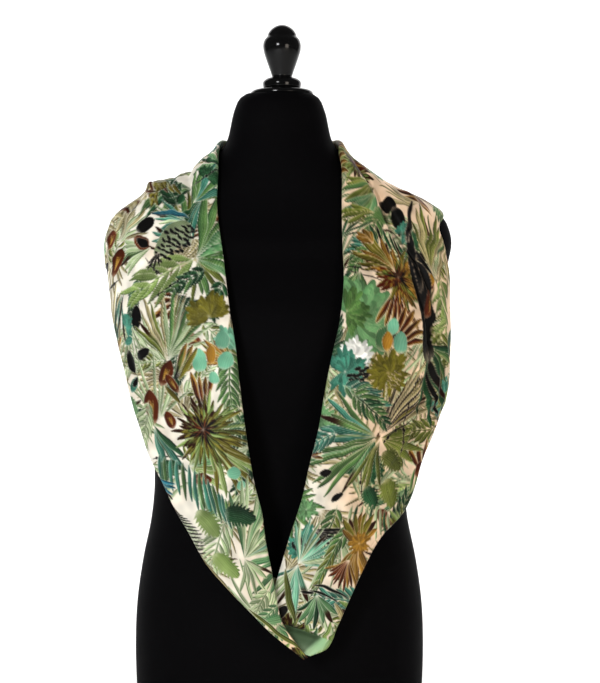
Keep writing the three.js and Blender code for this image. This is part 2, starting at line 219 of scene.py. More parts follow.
# Folds across the loop: station, lean in stations, place across from and to, rise, half length in stations
CROSS_FOLDS = [
    (14.9, -0.6, 0.5, 0.95, 1.6, 0.25),
    (12.4, 0.8, 0.3, 0.9, 1.2, 0.5),
    (32.9, 0.5, 0.6, 1, 1.5, 0.2),
    (39.8, 0.5, 0.1, 0.8, 1.2, 0.4),
    (40.5, 0.25, 0, 0.8, 3, 0.5),
]
# Shares of a fold's length over which it fades in and out, and the same across for a cross fold
FOLD_FADE = 0.25
CROSS_FADE = 0.12
# Crease over the pocket at the bottom: station, depth, half length in stations
POCKET = (41.5, 5, 0.5)

# Creases placed on the flat cloth of each half: kind, height, half width at both ends, way.
# On a "lap" the cloth to the left of the way stands up, and its right side dips under it.
CREASE_FADE = 0.16
CREASES = {
    "left": [
        # inner roll at the left of the neck
        ("lap", 2.6, 3, 4, (
            (-131, 698), (-134, 667), (-139, 650), (-138, 629), (-134, 603), (-128, 580), (-121, 560),
        )),
        # crumpled turn on the left shoulder
        ("lap", 5, 4, 5.5, (
            (-163, 632), (-170, 619), (-184, 613), (-196, 606),
            (-203, 594), (-203, 578), (-198, 556), (-194, 536),
        )),
        ("ridge", 2.8, 2.8, 2.8, ((-166, 640), (-172, 629), (-183, 625), (-196, 624))),
        ("ridge", -2.6, 2.4, 2.4, ((-164, 633), (-172, 623), (-184, 619), (-200, 617))),
        ("ridge", 2, 3, 4, ((-214, 608), (-222, 590), (-222, 566), (-214, 540))),
        ("ridge", -1.8, 2.6, 3.4, ((-222, 606), (-232, 586), (-232, 560), (-226, 538))),
        ("ridge", 1.8, 3.4, 4.6, ((-170, 660), (-160, 640), (-154, 612), (-152, 580))),
        # long soft creases of the left band
        ("ridge", 1.6, 4, 6, ((-176, 520), (-168, 470), (-152, 420), (-136, 380))),
        ("ridge", -1.4, 4, 5, ((-196, 520), (-184, 460), (-166, 400), (-150, 350))),
        ("ridge", 1.5, 3.6, 5, ((-66, 330), (-56, 280), (-40, 220), (-20, 160))),
        ("ridge", -1.3, 4, 5, ((-92, 300), (-74, 250), (-50, 200), (-22, 150))),
        ("ridge", -1.5, 4, 5, ((-72, 560), (-66, 500), (-60, 440))),
    ],
    "right": [
        # deep tuck down the right shoulder, its hollow and the pucker at its end
        ("lap", 10, 9, 3.5, (
            (170, 432), (171, 461), (175, 488), (172, 512), (167, 540),
            (161, 565), (154, 590), (151, 624), (149, 664),
        )),
        ("ridge", 5, 6, 5, ((170, 545), (184, 505), (192, 470), (194, 436), (202, 412))),
        ("ridge", 1.8, 2.8, 4, ((172, 440), (160, 408), (150, 370))),
        ("ridge", 2, 2.6, 4, ((180, 436), (184, 408), (180, 370))),
        ("ridge", -2.2, 2.4, 3.2, ((176, 436), (171, 408), (166, 384))),
        ("ridge", -2.2, 2.4, 3.4, ((188, 432), (198, 404), (204, 380))),
        # outer flap of the right shoulder
        ("ridge", 3, 5, 7, ((196, 640), (196, 590), (204, 540), (210, 500))),
        ("ridge", -2, 4, 5, ((186, 640), (184, 600), (188, 560))),
        # crease over the pocket, and the pocket's own fold up from the tip
        ("lap", 5, 4, 2.6, ((12, 127), (20, 123), (32, 119), (43, 115), (54, 112))),
        ("ridge", 3, 4, 3, ((30, 92), (38, 101), (47, 109), (52, 114))),
        # long soft creases of the right band
        ("ridge", 1.6, 4, 6, ((150, 360), (140, 310), (122, 260), (104, 214))),
        ("ridge", -1.5, 4, 5, ((120, 380), (104, 330), (84, 270), (66, 210))),
        ("ridge", 1.6, 3.4, 5, ((60, 300), (46, 240), (34, 190), (30, 150))),
        ("ridge", -1.3, 3, 4, ((84, 170), (70, 150), (58, 136), (44, 128))),
        ("ridge", 1.2, 3, 4, ((92, 180), (78, 158), (66, 140), (58, 124))),
    ],
}
# Hem beside the outer edge: way in from the edge, depth and half width of its groove, first and last station
HEM = (5.5, 0.8, 1.1, 35.2, 41.4)
HEM_FADE = 0.8

# Trough under the lowest point: lowest x, y, z, height of the front wall, height of the back wall
TURN = [
    (-74, -125, 200, 6, 22),
    (-54, -129, 176, 8, 30),
    (-32, -131, 151, 9, 40),
    (-8, -126, 130, 9, 50),
    (14, -122, 112, 9, 56),
    (32, -121, 101, 9, 58),
    (48, -120, 106, 9, 52),
    (58, -117, 124, 8, 42),
    (66, -114, 147, 6, 32),
]
TURN_RADIUS = 6
TURN_LEAN = 2
TURN_WAVE = 0.8
TURN_ALONG = 150
TURN_ACROSS = 46

# Each stretch of cloth: its solid, stations from and to, rows along, rows across the face.
# SEAM_TRIM stations are left free at both of its ends.
STRETCHES = [
    ("cloth_left", "scarf_left", 0, 16.4, 590, 138),
    ("cloth_back", "scarf_back", 16.4, 25.7, 330, 104),
    ("cloth_right", "scarf_right", 25.7, TIP_BEHIND, 600, 136),
]
SEAM_TRIM = 0.007


# Curves and surfaces
def hermite(a, b, slope_a, slope_b, t):
    """Smooth curve from a to b with given slopes at its ends."""
    t2 = t * t
    t3 = t2 * t
    from_a = (2 * t3 - 3 * t2 + 1) * a + (t3 - 2 * t2 + t) * slope_a
    return from_a + (3 * t2 - 2 * t3) * b + (t3 - t2) * slope_b


def smooth(a, b, value):
    """Soft step from 0 at a to 1 at b."""
    t = np.clip((value - a) / (b - a), 0, 1)
    return t * t * (3 - 2 * t)


def curve_at(rows, name, z):
    """Column of a table at heights z, on a smooth curve through its rows."""
    keys = rows["z"]
    values = rows[name]
    slopes = np.empty_like(values)
    slopes[1:-1] = (values[2:] - values[:-2]) / (keys[2:] - keys[:-2])
    slopes[0] = (values[1] - values[0]) / (keys[1] - keys[0])
    slopes[-1] = (values[-1] - values[-2]) / (keys[-1] - keys[-2])
    z = np.clip(z, keys[0], keys[-1])
    k = np.clip(np.searchsorted(keys, z) - 1, 0, len(keys) - 2)
    step = keys[k + 1] - keys[k]
    return hermite(values[k], values[k + 1], slopes[k] * step, slopes[k + 1] * step, (z - keys[k]) / step)


def spline_rows(values, place):
    """Rows of values at fractional places, on a smooth curve through them."""
    values = np.asarray(values, float)
    last = len(values) - 1
    slopes = np.empty_like(values)
    slopes[1:-1] = (values[2:] - values[:-2]) / 2
    slopes[0] = (values[1] - values[0]) / 2
    slopes[-1] = (values[-1] - values[-2]) / 2
    k = np.clip(np.floor(place).astype(int), 0, last - 1)
    t = (place - k).reshape(-1, *([1] * (values.ndim - 1)))
    return hermite(values[k], values[k + 1], slopes[k], slopes[k + 1], t)


def drape_reach(p):
    """How far out each point is: 1 on the drape, less inside it."""
    half = curve_at(DRAPE_LEVELS, "half", p[:, 2])
    front = curve_at(DRAPE_LEVELS, "front", p[:, 2])
    back = curve_at(DRAPE_LEVELS, "back", p[:, 2])
    depth = np.where(p[:, 1] < 0, front, back)
    across = np.abs(p[:, 0] / half) ** DRAPE_SQUARE + np.abs(p[:, 1] / depth) ** DRAPE_SQUARE
    return across ** (1 / DRAPE_SQUARE)


def drape_slope(p):
    """Way in which drape_reach grows fastest at each point."""
    step = 0.5
    slope = np.empty_like(p)
    for axis in range(3):
        off = np.zeros(3)
        off[axis] = step
        slope[:, axis] = (drape_reach(p + off) - drape_reach(p - off)) / (2 * step)
    return slope


def on_drape(p):
    """Points moved on to the drape in a few rounds, and the way out at each."""
    for _ in range(DRAPE_ROUNDS):
        slope = drape_slope(p)
        p = p + slope * ((1 - drape_reach(p)) / (slope**2).sum(1))[:, None]
    slope = drape_slope(p)
    return p, slope / np.linalg.norm(slope, axis=1)[:, None]


def stations_at(s):
    """Inner edge, outer edge and height of the face at fractional stations."""
    rows = spline_rows(STATIONS, s)
    return rows[:, :3], rows[:, 3:6], rows[:, 6:]


def fold_rise(s, v, width):
    """Rise of all folds at places s along and v across, with the band's width there."""
    rise = np.zeros_like(v)
    for start, end, v_start, v_end, height, half in LONG_FOLDS:
        t = (s - start) / (end - start)
        fade = smooth(0, FOLD_FADE, t) * smooth(0, FOLD_FADE, 1 - t)
        off = (v - (v_start + (v_end - v_start) * t)) * width / half
        rise += height * fade * np.exp(-off * off)
    for place, lean, v_start, v_end, height, half in CROSS_FOLDS:
        middle = (v_start + v_end) / 2
        off = (s - place - lean * (v - middle)) / half
        fade = smooth(v_start - CROSS_FADE, v_start + CROSS_FADE, v)
        fade = fade * smooth(v_end + CROSS_FADE, v_end - CROSS_FADE, v)
        rise += height * fade * np.exp(-off * off)
    return rise


def crease_rise(half, flat):
    """Rise of the creases of one half of the loop, at flat places."""
    rise = np.zeros(len(flat))
    for kind, height, wide_start, wide_end, way in CREASES[half]:
        way = spline_rows(way, np.linspace(0, len(way) - 1, 16 * len(way)))
        reach = 4 * max(wide_start, wide_end)
        near = ((flat > way.min(0) - reach) & (flat < way.max(0) + reach)).all(1).nonzero()[0]
        if not len(near):
            continue
        places = flat[near]
        nearest = ((places[:, None] - way[None]) ** 2).sum(2).argmin(1)
        ahead = np.gradient(way, axis=0)[nearest]
        step = np.linalg.norm(ahead, axis=1)
        off = places - way[nearest]
        t = (nearest + (ahead * off).sum(1) / step**2) / (len(way) - 1)
        left = (ahead[:, 0] * off[:, 1] - ahead[:, 1] * off[:, 0]) / step
        left = left / (wide_start + (wide_end - wide_start) * np.clip(t, 0, 1))
        fade = smooth(0, CREASE_FADE, t) * smooth(0, CREASE_FADE, 1 - t)
        if kind == "lap":
            # a low ridge on the left and a sharper dip on the right
            shape = 0.6 * np.exp(-(((left - 1.1) / 1.3) ** 2)) - np.exp(-(((left + 0.6) / 0.8) ** 2))
        else:
            shape = np.exp(-(left**2))
        rise[near] += height * fade * shape
    return rise


class Ripple:
    """Slow uneven ripple of the cloth, a sum of plain waves."""

    def __init__(self, seed, count, shortest, longest):
        rng = np.random.default_rng(seed)
        self.length = rng.uniform(shortest, longest, count)
        self.angle = rng.uniform(0, math.pi, count)
        self.start = rng.uniform(0, 2 * math.pi, count)

    def at(self, x, z):
        total = np.zeros_like(x)
        for length, angle, start in zip(self.length, self.angle, self.start):
            total += np.sin(2 * math.pi * (x * math.cos(angle) + z * math.sin(angle)) / length + start)
        return total / math.sqrt(len(self.length))


# Ripples of the cloth and their heights, shake and mottle of the print, patches of the bare cloth
RIPPLE = Ripple(7, 22, 40, 120)
FINE_RIPPLE = Ripple(9, 26, 11, 26)
RIPPLE_HEIGHT = 0.8
FINE_RIPPLE_HEIGHT = 0.1
SHAKE_X = Ripple(41, 16, 16, 60)
SHAKE_Z = Ripple(43, 16, 16, 60)
MOTTLE = Ripple(47, 16, 8, 40)
PATCHES = Ripple(31, 9, 60, 170)


# Laying the band flat
def third_corner(a, b, from_a, from_b, side):
    """Flat point at two distances from a and b, on one side of the line between them."""
    way = b - a
    base = np.linalg.norm(way)
    way = way / base
    along = (from_a**2 - from_b**2 + base**2) / (2 * base)
    off = math.sqrt(max(from_a**2 - along**2, 0))
    return a + along * way + side * off * np.array([-way[1], way[0]])


def lay_flat(inner, outer, start, hand):
    """Both edges of the band as one flat strip, with row start as it is seen from the front."""
    flat_inner = np.zeros((len(inner), 2))
    flat_outer = np.zeros((len(inner), 2))
    gap = outer[start] - inner[start]
    flat_inner[start] = inner[start][[0, 2]]
    flat_outer[start] = flat_inner[start] + (hand * math.hypot(gap[0], gap[1]), gap[2])
    for step in (1, -1):
        across = flat_outer[start] - flat_inner[start]
        ahead = (inner[start + step] - inner[start])[[0, 2]]
        side = 1 if -across[1] * ahead[0] + across[0] * ahead[1] > 0 else -1
        i = start
        while 0 <= i + step < len(inner):
            j = i + step
            near = np.linalg.norm(inner[j] - inner[i])
            far = np.linalg.norm(inner[j] - outer[i])
            flat_inner[j] = third_corner(flat_inner[i], flat_outer[i], near, far, side)
            near = np.linalg.norm(outer[j] - inner[j])
            far = np.linalg.norm(outer[j] - outer[i])
            flat_outer[j] = third_corner(flat_inner[j], flat_outer[i], near, far, side)
            i = j
    return flat_inner, flat_outer


# Stations between flat rows, and the station of each half that is laid as it is seen from the front
FLAT_STEP = 0.05
FLAT_LEFT_START = 9.5
FLAT_RIGHT_START = 34.5


def flat_strips():
    """Flat edges of the left and right halves of the loop, by station."""
    strips = {}
    for name, start, end, at, hand in (
        ("left", 0, NAPE, FLAT_LEFT_START, -1),
        ("right", NAPE, TIP_BEHIND, FLAT_RIGHT_START, 1),
    ):
        s = np.arange(start, end + FLAT_STEP / 2, FLAT_STEP)
        inner, outer, _ = stations_at(s)
        inner, _ = on_drape(inner)
        outer, _ = on_drape(outer)
        strips[name] = (s, *lay_flat(inner, outer, int(round((at - start) / FLAT_STEP)), hand))
    return strips


def flat_edges(strips, s):
    """Flat inner and outer edge at each place along the loop."""
    inner = np.empty((len(s), 2))
    outer = np.empty((len(s), 2))
    for name, half in (("left", s < NAPE), ("right", s >= NAPE)):
        keys, flat_inner, flat_outer = strips[name]
        for axis in range(2):
            inner[half, axis] = np.interp(s[half], keys, flat_inner[:, axis])
            outer[half, axis] = np.interp(s[half], keys, flat_outer[:, axis])
    return inner, outer


def steps_across(s, width, across):
    """Place across the band of each grid point, and its level from the turned edge up to the face."""
    steps = np.linspace(0, len(ROLL) - 1, EDGE_STEPS)
    roll = spline_rows(ROLL, steps)
    in_from_edge, roll_level = roll[:, 0], np.clip(roll[:, 1], 0, 1)
    share = (np.minimum(1, width / NARROW_BAND) / width)[:, None]
    flat = smooth(FLAT_EDGE[0], FLAT_EDGE[1], s) * (1 - smooth(FLAT_EDGE[2], FLAT_EDGE[3], s))
    flat = flat[:, None]
    inner_v = in_from_edge * share
    inner_level = np.repeat(roll_level[None], len(s), 0)
    from_outer = in_from_edge * (1 - flat) + FLAT_EDGE_GAP * steps * flat
    outer_v = 1 - (from_outer * share)[:, ::-1]
    outer_level = (roll_level + (1 - roll_level) * flat)[:, ::-1]
    t = np.linspace(0, 1, across + 1)[1:-1]
    face_v = inner_v[:, -1:] + (outer_v[:, :1] - inner_v[:, -1:]) * t
    v = np.concatenate([inner_v, face_v, outer_v], 1)
    return v, np.concatenate([inner_level, np.ones_like(face_v), outer_level], 1)


def hem_depth(s, v, width):
    """Depth of the groove of the hem beside the outer edge."""
    in_from_edge, depth, half_wide, hem_from, hem_to = HEM
    groove = np.exp(-((((1 - v) * width - in_from_edge) / half_wide) ** 2))
    return depth * groove * smooth(hem_from, hem_from + HEM_FADE, s) * smooth(hem_to, hem_to - HEM_FADE, s)


def band_grid(strips, start, end, along, across):
    """Grid of points of one stretch of the band, where each lies on the flat cloth, and its station."""
    s = np.linspace(start + SEAM_TRIM, end - SEAM_TRIM, along + 1)
    inner, outer, lift = stations_at(s)
    width = np.linalg.norm(outer - inner, axis=1)
    v, level = steps_across(s, width, across)
    rows, columns = v.shape
    base, out = on_drape((inner[:, None] + (outer - inner)[:, None] * v[..., None]).reshape(-1, 3))
    grid_s = np.repeat(s[:, None], columns, 1)
    height = lift[:, :1] + (lift[:, 1:] - lift[:, :1]) * v
    crease = POCKET[1] * np.exp(-(((grid_s - POCKET[0]) / POCKET[2]) ** 2)) * smooth(0.9, 0.2, v)
    top = height + fold_rise(grid_s, v, width[:, None]) - crease
    flat_inner, flat_outer = flat_edges(strips, s)
    flat_xz = flat_inner[:, None] + (flat_outer - flat_inner)[:, None] * v[..., None]
    for half, here in (("left", s < NAPE), ("right", s >= NAPE)):
        if here.any():
            top[here] += crease_rise(half, flat_xz[here].reshape(-1, 2)).reshape(-1, columns)
    top = top - hem_depth(grid_s, v, width[:, None])
    # The cloth stays clear of the form where it lies on it, with a soft stop.
    least = np.where((grid_s < HANGS[0]) | (grid_s > HANGS[1]), HANGING_LEAST, CLEAR)
    top = (top + least + np.sqrt((top - least) ** 2 + 1)) / 2
    top = top + RIPPLE_HEIGHT * RIPPLE.at(flat_xz[..., 0], flat_xz[..., 1])
    top = top + FINE_RIPPLE_HEIGHT * FINE_RIPPLE.at(flat_xz[..., 0], flat_xz[..., 1])
    under = np.maximum(height - ROLL_HEIGHT, least)
    rise = under + (top - under) * level
    points = (base + out * rise.reshape(-1, 1)).reshape(rows, columns, 3)
    return points, print_places(points, v, flat_inner, flat_outer), grid_s


def run_across(points):
    """Distance along each row of points from its first one."""
    run = np.zeros(points.shape[:2])
    run[:, 1:] = np.cumsum(np.linalg.norm(np.diff(points, axis=1), axis=2), 1)
    return run


def print_places(points, v, flat_inner, flat_outer):
    """Flat place of each point, so that the print follows the cloth over folds and turned edges."""
    run = run_across(points)
    middle = points.shape[1] // 2
    way = flat_outer - flat_inner
    way /= np.linalg.norm(way, axis=1)[:, None]
    centre = flat_inner + (flat_outer - flat_inner) * v[:, middle, None]
    return centre[:, None] + way[:, None] * (run - run[:, middle, None])[..., None]


def turn_grid(along, across):
    """Grid of the trough under the lowest point, and where each point lies on the flat cloth."""
    place = np.linspace(0, len(TURN) - 1, along + 1)
    bend = np.linspace(0, math.pi, across // 2)
    wall = np.linspace(0, 1, across // 2 + 1)[1:]
    points = []
    for x, y, z, front_rise, back_rise in spline_rows(TURN, place):
        row = [(x, y - TURN_RADIUS, z + front_rise)]
        for angle in bend:
            row.append((x, y - TURN_RADIUS * math.cos(angle), z + TURN_RADIUS * (1 - math.sin(angle))))
        for t in wall:
            wave = TURN_WAVE * math.sin(9 * t + x / 11)
            height = z + TURN_RADIUS + (back_rise - TURN_RADIUS) * t
            row.append((x, y + TURN_RADIUS - TURN_LEAN * t + wave * t, height))
        points.append(row)
    points = np.array(points)
    return points, np.stack([points[..., 0], points[:, :1, 2] - run_across(points)], -1)


# Print: a flat cloth painted with leaves, read at each point of the mesh
CREAM = (0.88, 0.86, 0.81)
BEIGE = (0.87, 0.77, 0.66)
PALE_GREEN = (0.74, 0.80, 0.66)
BROWN = (0.17, 0.07, 0.03)
RUST = (0.30, 0.09, 0.03)
TIP_CHANCE = 0.06
# Plain green leaf in the pocket: its colour in painted shade under the crease and in painted light, station
# and slant of its start, place across, slope and station of the line between its painted shade and painted
# light, and the stations over which it grows paler, and how much
POCKET_SHADED_GREEN = (0.27, 0.35, 0.25)
POCKET_LIT_GREEN = (0.58, 0.73, 0.55)
POCKET_START = (41.2, 0.75)
POCKET_SHADE_EDGE = (0.76, 0.17, 41.8)
POCKET_PALER = (42.4, 43.8, 0.4)

# Colours of each leaf family: fill, shade, line
FAMILIES = {
    "green": ((0.36, 0.50, 0.27), (0.17, 0.31, 0.16), (0.06, 0.14, 0.07)),
    "fresh": ((0.43, 0.59, 0.40), (0.24, 0.43, 0.27), (0.07, 0.20, 0.11)),
    "deep": ((0.16, 0.33, 0.20), (0.06, 0.17, 0.10), (0.02, 0.05, 0.03)),
    "teal": ((0.28, 0.53, 0.45), (0.12, 0.35, 0.29), (0.04, 0.16, 0.13)),
    "mint": ((0.47, 0.70, 0.58), (0.35, 0.58, 0.47), (0.20, 0.40, 0.32)),
    "lime": ((0.54, 0.63, 0.36), (0.40, 0.50, 0.24), (0.22, 0.30, 0.12)),
    "olive": ((0.44, 0.42, 0.13), (0.30, 0.27, 0.07), (0.12, 0.08, 0.02)),
    "moss": ((0.43, 0.47, 0.20), (0.27, 0.31, 0.10), (0.10, 0.12, 0.04)),
    "pale": ((0.70, 0.76, 0.61), (0.50, 0.59, 0.40), (0.24, 0.33, 0.18)),
    "straw": ((0.68, 0.64, 0.47), (0.46, 0.43, 0.26), (0.20, 0.17, 0.08)),
    "blue": ((0.16, 0.47, 0.54), (0.08, 0.30, 0.38), (0.03, 0.14, 0.18)),
    "gold": ((0.60, 0.45, 0.15), (0.42, 0.28, 0.08), (0.18, 0.08, 0.02)),
    "rust": ((0.37, 0.16, 0.05), (0.18, 0.06, 0.02), (0.08, 0.03, 0.01)),
    "black": ((0.05, 0.045, 0.04), (0.02, 0.02, 0.02), (0.02, 0.02, 0.02)),
    "white": ((0.93, 0.93, 0.91), (0.90, 0.91, 0.88), (0.86, 0.89, 0.84)),
}
# Cell of the flat cloth and spare width round it, in mm
CELL = 0.6
CLOTH_MARGIN = 4
# How far the whole print is darkened, shaken in mm and mottled
INK_DEPTH = 1.13
SHAKE = 0.7
MOTTLE_DEPTH = 0.06
# Width over which a leaf's edge blurs, and how close its streaks lie
EDGE_SOFTNESS = 0.7
STREAK_STEP = 2.9
TURNS = math.pi / 180
# Darkest and lightest tone of a leaf, and the range that its streaks start in
TONES = (0.76, 1.14)
WAVE_START = 6.28


class Cloth:
    """Flat cloth that shapes are laid on, from low to high corner in millimetres."""

    def __init__(self, low, high, seed):
        self.low = np.floor(np.asarray(low, float)) - CLOTH_MARGIN
        size = np.ceil((np.asarray(high) + CLOTH_MARGIN - self.low) / CELL).astype(int) + 1
        self.rgb = np.empty((size[1], size[0], 3))
        self.bare = self.rgb
        self.rng = np.random.default_rng(seed)

    def near(self, x_low, x_high, z_low, z_high):
        """The cloth and the bare cloth round a shape, with each cell's place, or None outside."""
        first = np.floor((np.array([x_low, z_low]) - self.low) / CELL).astype(int)
        last = np.ceil((np.array([x_high, z_high]) - self.low) / CELL).astype(int) + 1
        first = np.maximum(first, 0)
        last = np.minimum(last, self.rgb.shape[1::-1])
        if (last <= first).any():
            return None
        x = self.low[0] + CELL * np.arange(first[0], last[0])[None]
        z = self.low[1] + CELL * np.arange(first[1], last[1])[:, None]
        part = np.s_[first[1] : last[1], first[0] : last[0]]
        return self.rgb[part], self.bare[part], x, z

    def at(self, x, z):
        """Colour of the cloth at flat places, a little shaken and mottled as if brushed by hand."""
        u = (x + SHAKE * SHAKE_X.at(x, z) - self.low[0]) / CELL
        w = (z + SHAKE * SHAKE_Z.at(x, z) - self.low[1]) / CELL
        u = np.clip(u, 0, self.rgb.shape[1] - 1.001)
        w = np.clip(w, 0, self.rgb.shape[0] - 1.001)
        i, j = w.astype(int), u.astype(int)
        a, b = (w - i)[..., None], (u - j)[..., None]
        low = self.rgb[i, j] * (1 - b) + self.rgb[i, j + 1] * b
        high = self.rgb[i + 1, j] * (1 - b) + self.rgb[i + 1, j + 1] * b
        return (low * (1 - a) + high * a) * (1 + MOTTLE_DEPTH * MOTTLE.at(x, z))[..., None]


def lay(part, cover, colour):
    """Lay a colour on part of the cloth, as thickly as cover says."""
    part += cover[..., None] * (np.asarray(colour) - part)


def way_of(angle):
    """Unit steps in x and z along an angle in degrees."""
    return math.cos(angle * TURNS), math.sin(angle * TURNS)


def moved(x, z, angle, along, aside=0.0):
    """Place moved along an angle in degrees, and to the left of it."""
    c, s = way_of(angle)
    return x + along * c - aside * s, z + along * s + aside * c


def one_of(rng, names):
    """One of the names, drawn at random."""
    return names[int(rng.random() * len(names))]


def leaf_kind(rng, family, second):
    """Family of one leaf, now and then the second one."""
    return second if second and rng.random() < 0.4 else family


def blade(
    cloth, x, z, angle, length, half, family,
    bend=0.0, belly=0.5, sharp=1.9, teeth=0, tip=None, halo=0.6, lines=1.0,
):
    """One leaf blade: from its foot, along an angle in degrees, widest at belly, slimmer with sharp."""
    fill, shade, line = (np.array(c) for c in FAMILIES[family])
    c, s = way_of(angle)
    reach = half + abs(bend) * length + 2
    ends_x, ends_z = (x, x + length * c), (z, z + length * s)
    found = cloth.near(min(ends_x) - reach, max(ends_x) + reach, min(ends_z) - reach, max(ends_z) + reach)
    if found is None:
        return
    part, bare, cx, cz = found
    along = ((cx - x) * c + (cz - z) * s) / length
    off = (cz - z) * c - (cx - x) * s - bend * length * along * along
    t = np.clip(along, 0, 1)
    tone, first, second = cloth.rng.uniform((TONES[0], 0, 0), (TONES[1], WAVE_START, WAVE_START))
    wide = half * (t / belly) ** (sharp * belly) * ((1 - t) / (1 - belly)) ** (sharp * (1 - belly))
    wide = wide * (1 + 0.05 * np.sin(9 * t + first))
    if teeth:
        wide = wide * (0.66 + 0.5 * ((t * teeth + 0.25 * np.sign(off)) % 1))
    within = (along > 0) & (along < 1)
    gap = wide - np.abs(off)
    # bare rim, then the leaf, which fades out towards its foot
    lay(part, np.clip((gap + halo) / EDGE_SOFTNESS + 0.5, 0, 1) * within * 0.7, bare)
    cover = np.clip(gap / EDGE_SOFTNESS + 0.5, 0, 1) * within
    cover = cover * (0.4 + 0.6 * smooth(0, 0.22, t))
    side = off / (wide + 0.3)
    streak = np.sin(off * STREAK_STEP + first + 1.5 * np.sin(6 * t + second))
    lay(part, cover, fill * tone)
    # one side darker, with light and dark streaks
    lay(part, cover * smooth(-0.3, 0.7, side) * (0.3 + 0.55 * lines), shade * tone)
    lay(part, cover * np.clip(streak, 0, 1) * 0.6 * fill.mean() * lines, bare)
    lay(part, cover * np.clip(-streak, 0, 1) * 0.4, shade * tone)
    # outline of the darker side, and the midrib of a wide leaf
    edge = np.clip(1.1 - np.abs(gap - 0.3) / 0.8, 0, 1) * (side > 0)
    if half > 2:
        edge = edge + np.clip(0.6 - np.abs(off + 0.2 * wide) / 0.8, 0, 1)
    lay(part, np.clip(edge, 0, 1) * cover * 0.9 * lines, line)
    if tip:
        lay(part, cover * smooth(0.5, 0.75, t), tip)


def fan(cloth, x, z, angle, size, family, spread, count, half, second=None):
    """Palm fan: long sweeping blades round one hub."""
    rng = cloth.rng
    sweep = rng.uniform(-0.08, 0.08)
    for k in range(count):
        turn = (k + 0.5) / count - 0.5
        length = size * (1 - 0.4 * abs(turn)) * rng.uniform(0.8, 1.1)
        kind = leaf_kind(rng, family, second)
        blade(
            cloth, x, z, angle + spread * turn + rng.uniform(-3, 3), length, half * rng.uniform(0.75, 1.2),
            kind, bend=0.3 * turn + sweep + rng.uniform(-0.04, 0.04), belly=0.6,
            tip=BROWN if rng.random() < TIP_CHANCE else None,
        )


def frond(cloth, x, z, angle, size, family, count, leaf, half, bend=0.15, lean=48, second=None):
    """Feather frond: a curved rib with leaflets on both sides."""
    rng = cloth.rng
    for k in range(count):
        t = 0.06 + 0.92 * k / count
        foot = moved(x, z, angle, size * t, bend * size * t * t)
        turn = math.degrees(math.atan(2 * bend * t))
        length = size * leaf * (1 - 0.55 * t) * (0.6 + 0.4 * min(1, 5 * t))
        for side in (1, -1):
            kind = leaf_kind(rng, family, second)
            blade(
                cloth, *foot, angle + turn + side * (lean - 16 * t) + rng.uniform(-5, 5),
                length * rng.uniform(0.8, 1.15), half * (1 - 0.35 * t), kind, bend=-side * 0.14,
            )
    blade(cloth, x, z, angle, size, 0.8, family, bend=bend, halo=0.4)


# Rings of a spiky flower from outside in: blades, reach as a share of its size, half width in mm
BURST_RINGS = ((32, 1, 2), (28, 0.8, 1.9), (24, 0.6, 1.7), (18, 0.42, 1.4))
HEART_BLADES = 26


def burst(cloth, x, z, size, dark_side, kinds=("olive", "moss", "lime"), tip=BROWN):
    """Spiky flower: rings of narrow blades, dark-tipped on one side, round a dark heart."""
    rng = cloth.rng
    for ring, (count, reach, half) in enumerate(BURST_RINGS):
        for k in range(count):
            turn = 360 * (k + 0.37 * ring) / count + rng.uniform(-6, 6)
            facing = math.cos((turn - dark_side) * TURNS)
            length = size * reach * (1 - 0.2 * facing) * rng.uniform(0.78, 1.08)
            end = tip if rng.random() < 0.2 + 0.55 * facing else None
            foot = moved(x, z, turn, size * 0.05)
            blade(
                cloth, *foot, turn, length, half * rng.uniform(0.8, 1.25), one_of(rng, kinds),
                bend=rng.uniform(-0.1, 0.1), belly=0.62, tip=end, halo=0.5 if ring == 0 else 0,
            )
    for k in range(HEART_BLADES):
        length = size * rng.uniform(0.2, 0.5)
        kind = ("rust", "black")[k % 2]
        blade(cloth, x, z, 13.8 * k + rng.uniform(-9, 9), length, 1.1, kind, belly=0.4, halo=0)


def petals(cloth, x, z, angle, size, family="rust", count=4, spread=80, half=3.2):
    """Loose long petals side by side, dark at the root and gold at the tip."""
    rng = cloth.rng
    for k in range(count):
        turn = angle + spread * ((k + 0.5) / count - 0.5)
        foot = moved(x, z, turn, size * rng.uniform(0.1, 0.22))
        length = size * rng.uniform(0.75, 1)
        blade(cloth, *foot, turn, length, half, "gold", halo=1.2, belly=0.6)
        blade(cloth, *foot, turn, length * 0.85, half * 0.7, family, halo=0)
        blade(cloth, x, z, turn, length * 0.5, half * 0.35, "black", halo=0)


def oval(cloth, x, z, angle, size, family, share=0.4, sharp=1.1):
    """Rounded leaf about its middle."""
    foot = moved(x, z, angle, -size / 2)
    blade(cloth, *foot, angle, size, size * share, family, sharp=sharp, lines=0.3)


def bud(cloth, x, z, angle, size, family, share=0.27):
    """Dark pointed oval. A rust one has golden veins."""
    oval(cloth, x, z, angle, size, family, share, 1.35)
    if family == "rust":
        foot = moved(x, z, angle, -0.3 * size)
        for k in (-1, 0, 1):
            blade(cloth, *foot, angle + 10 * k, size * 0.5, size * share * 0.16, "gold", halo=0)


def jag(cloth, x, z, angle, size, family, share=0.33):
    """Leaf with a saw edge, about its middle."""
    foot = moved(x, z, angle, -size / 2)
    blade(cloth, *foot, angle, size, size * share, family, belly=0.45, sharp=1.2, teeth=9)


def comb(cloth, x, z, angle, size, family, count, length, half, turn=-90, second=None):
    """Row of near-parallel bars that hang from one line."""
    rng = cloth.rng
    for k in range(count):
        t = k / (count - 1)
        arch = math.sin(math.pi * t)
        foot = moved(x, z, angle, size * t, 0.1 * size * arch)
        blade(
            cloth, *foot, angle + turn + 18 * (t - 0.5), length * (0.7 + 0.3 * arch) * rng.uniform(0.85, 1.1),
            half, second if second and k % 3 == 1 else family, bend=0.1, sharp=1.3,
        )


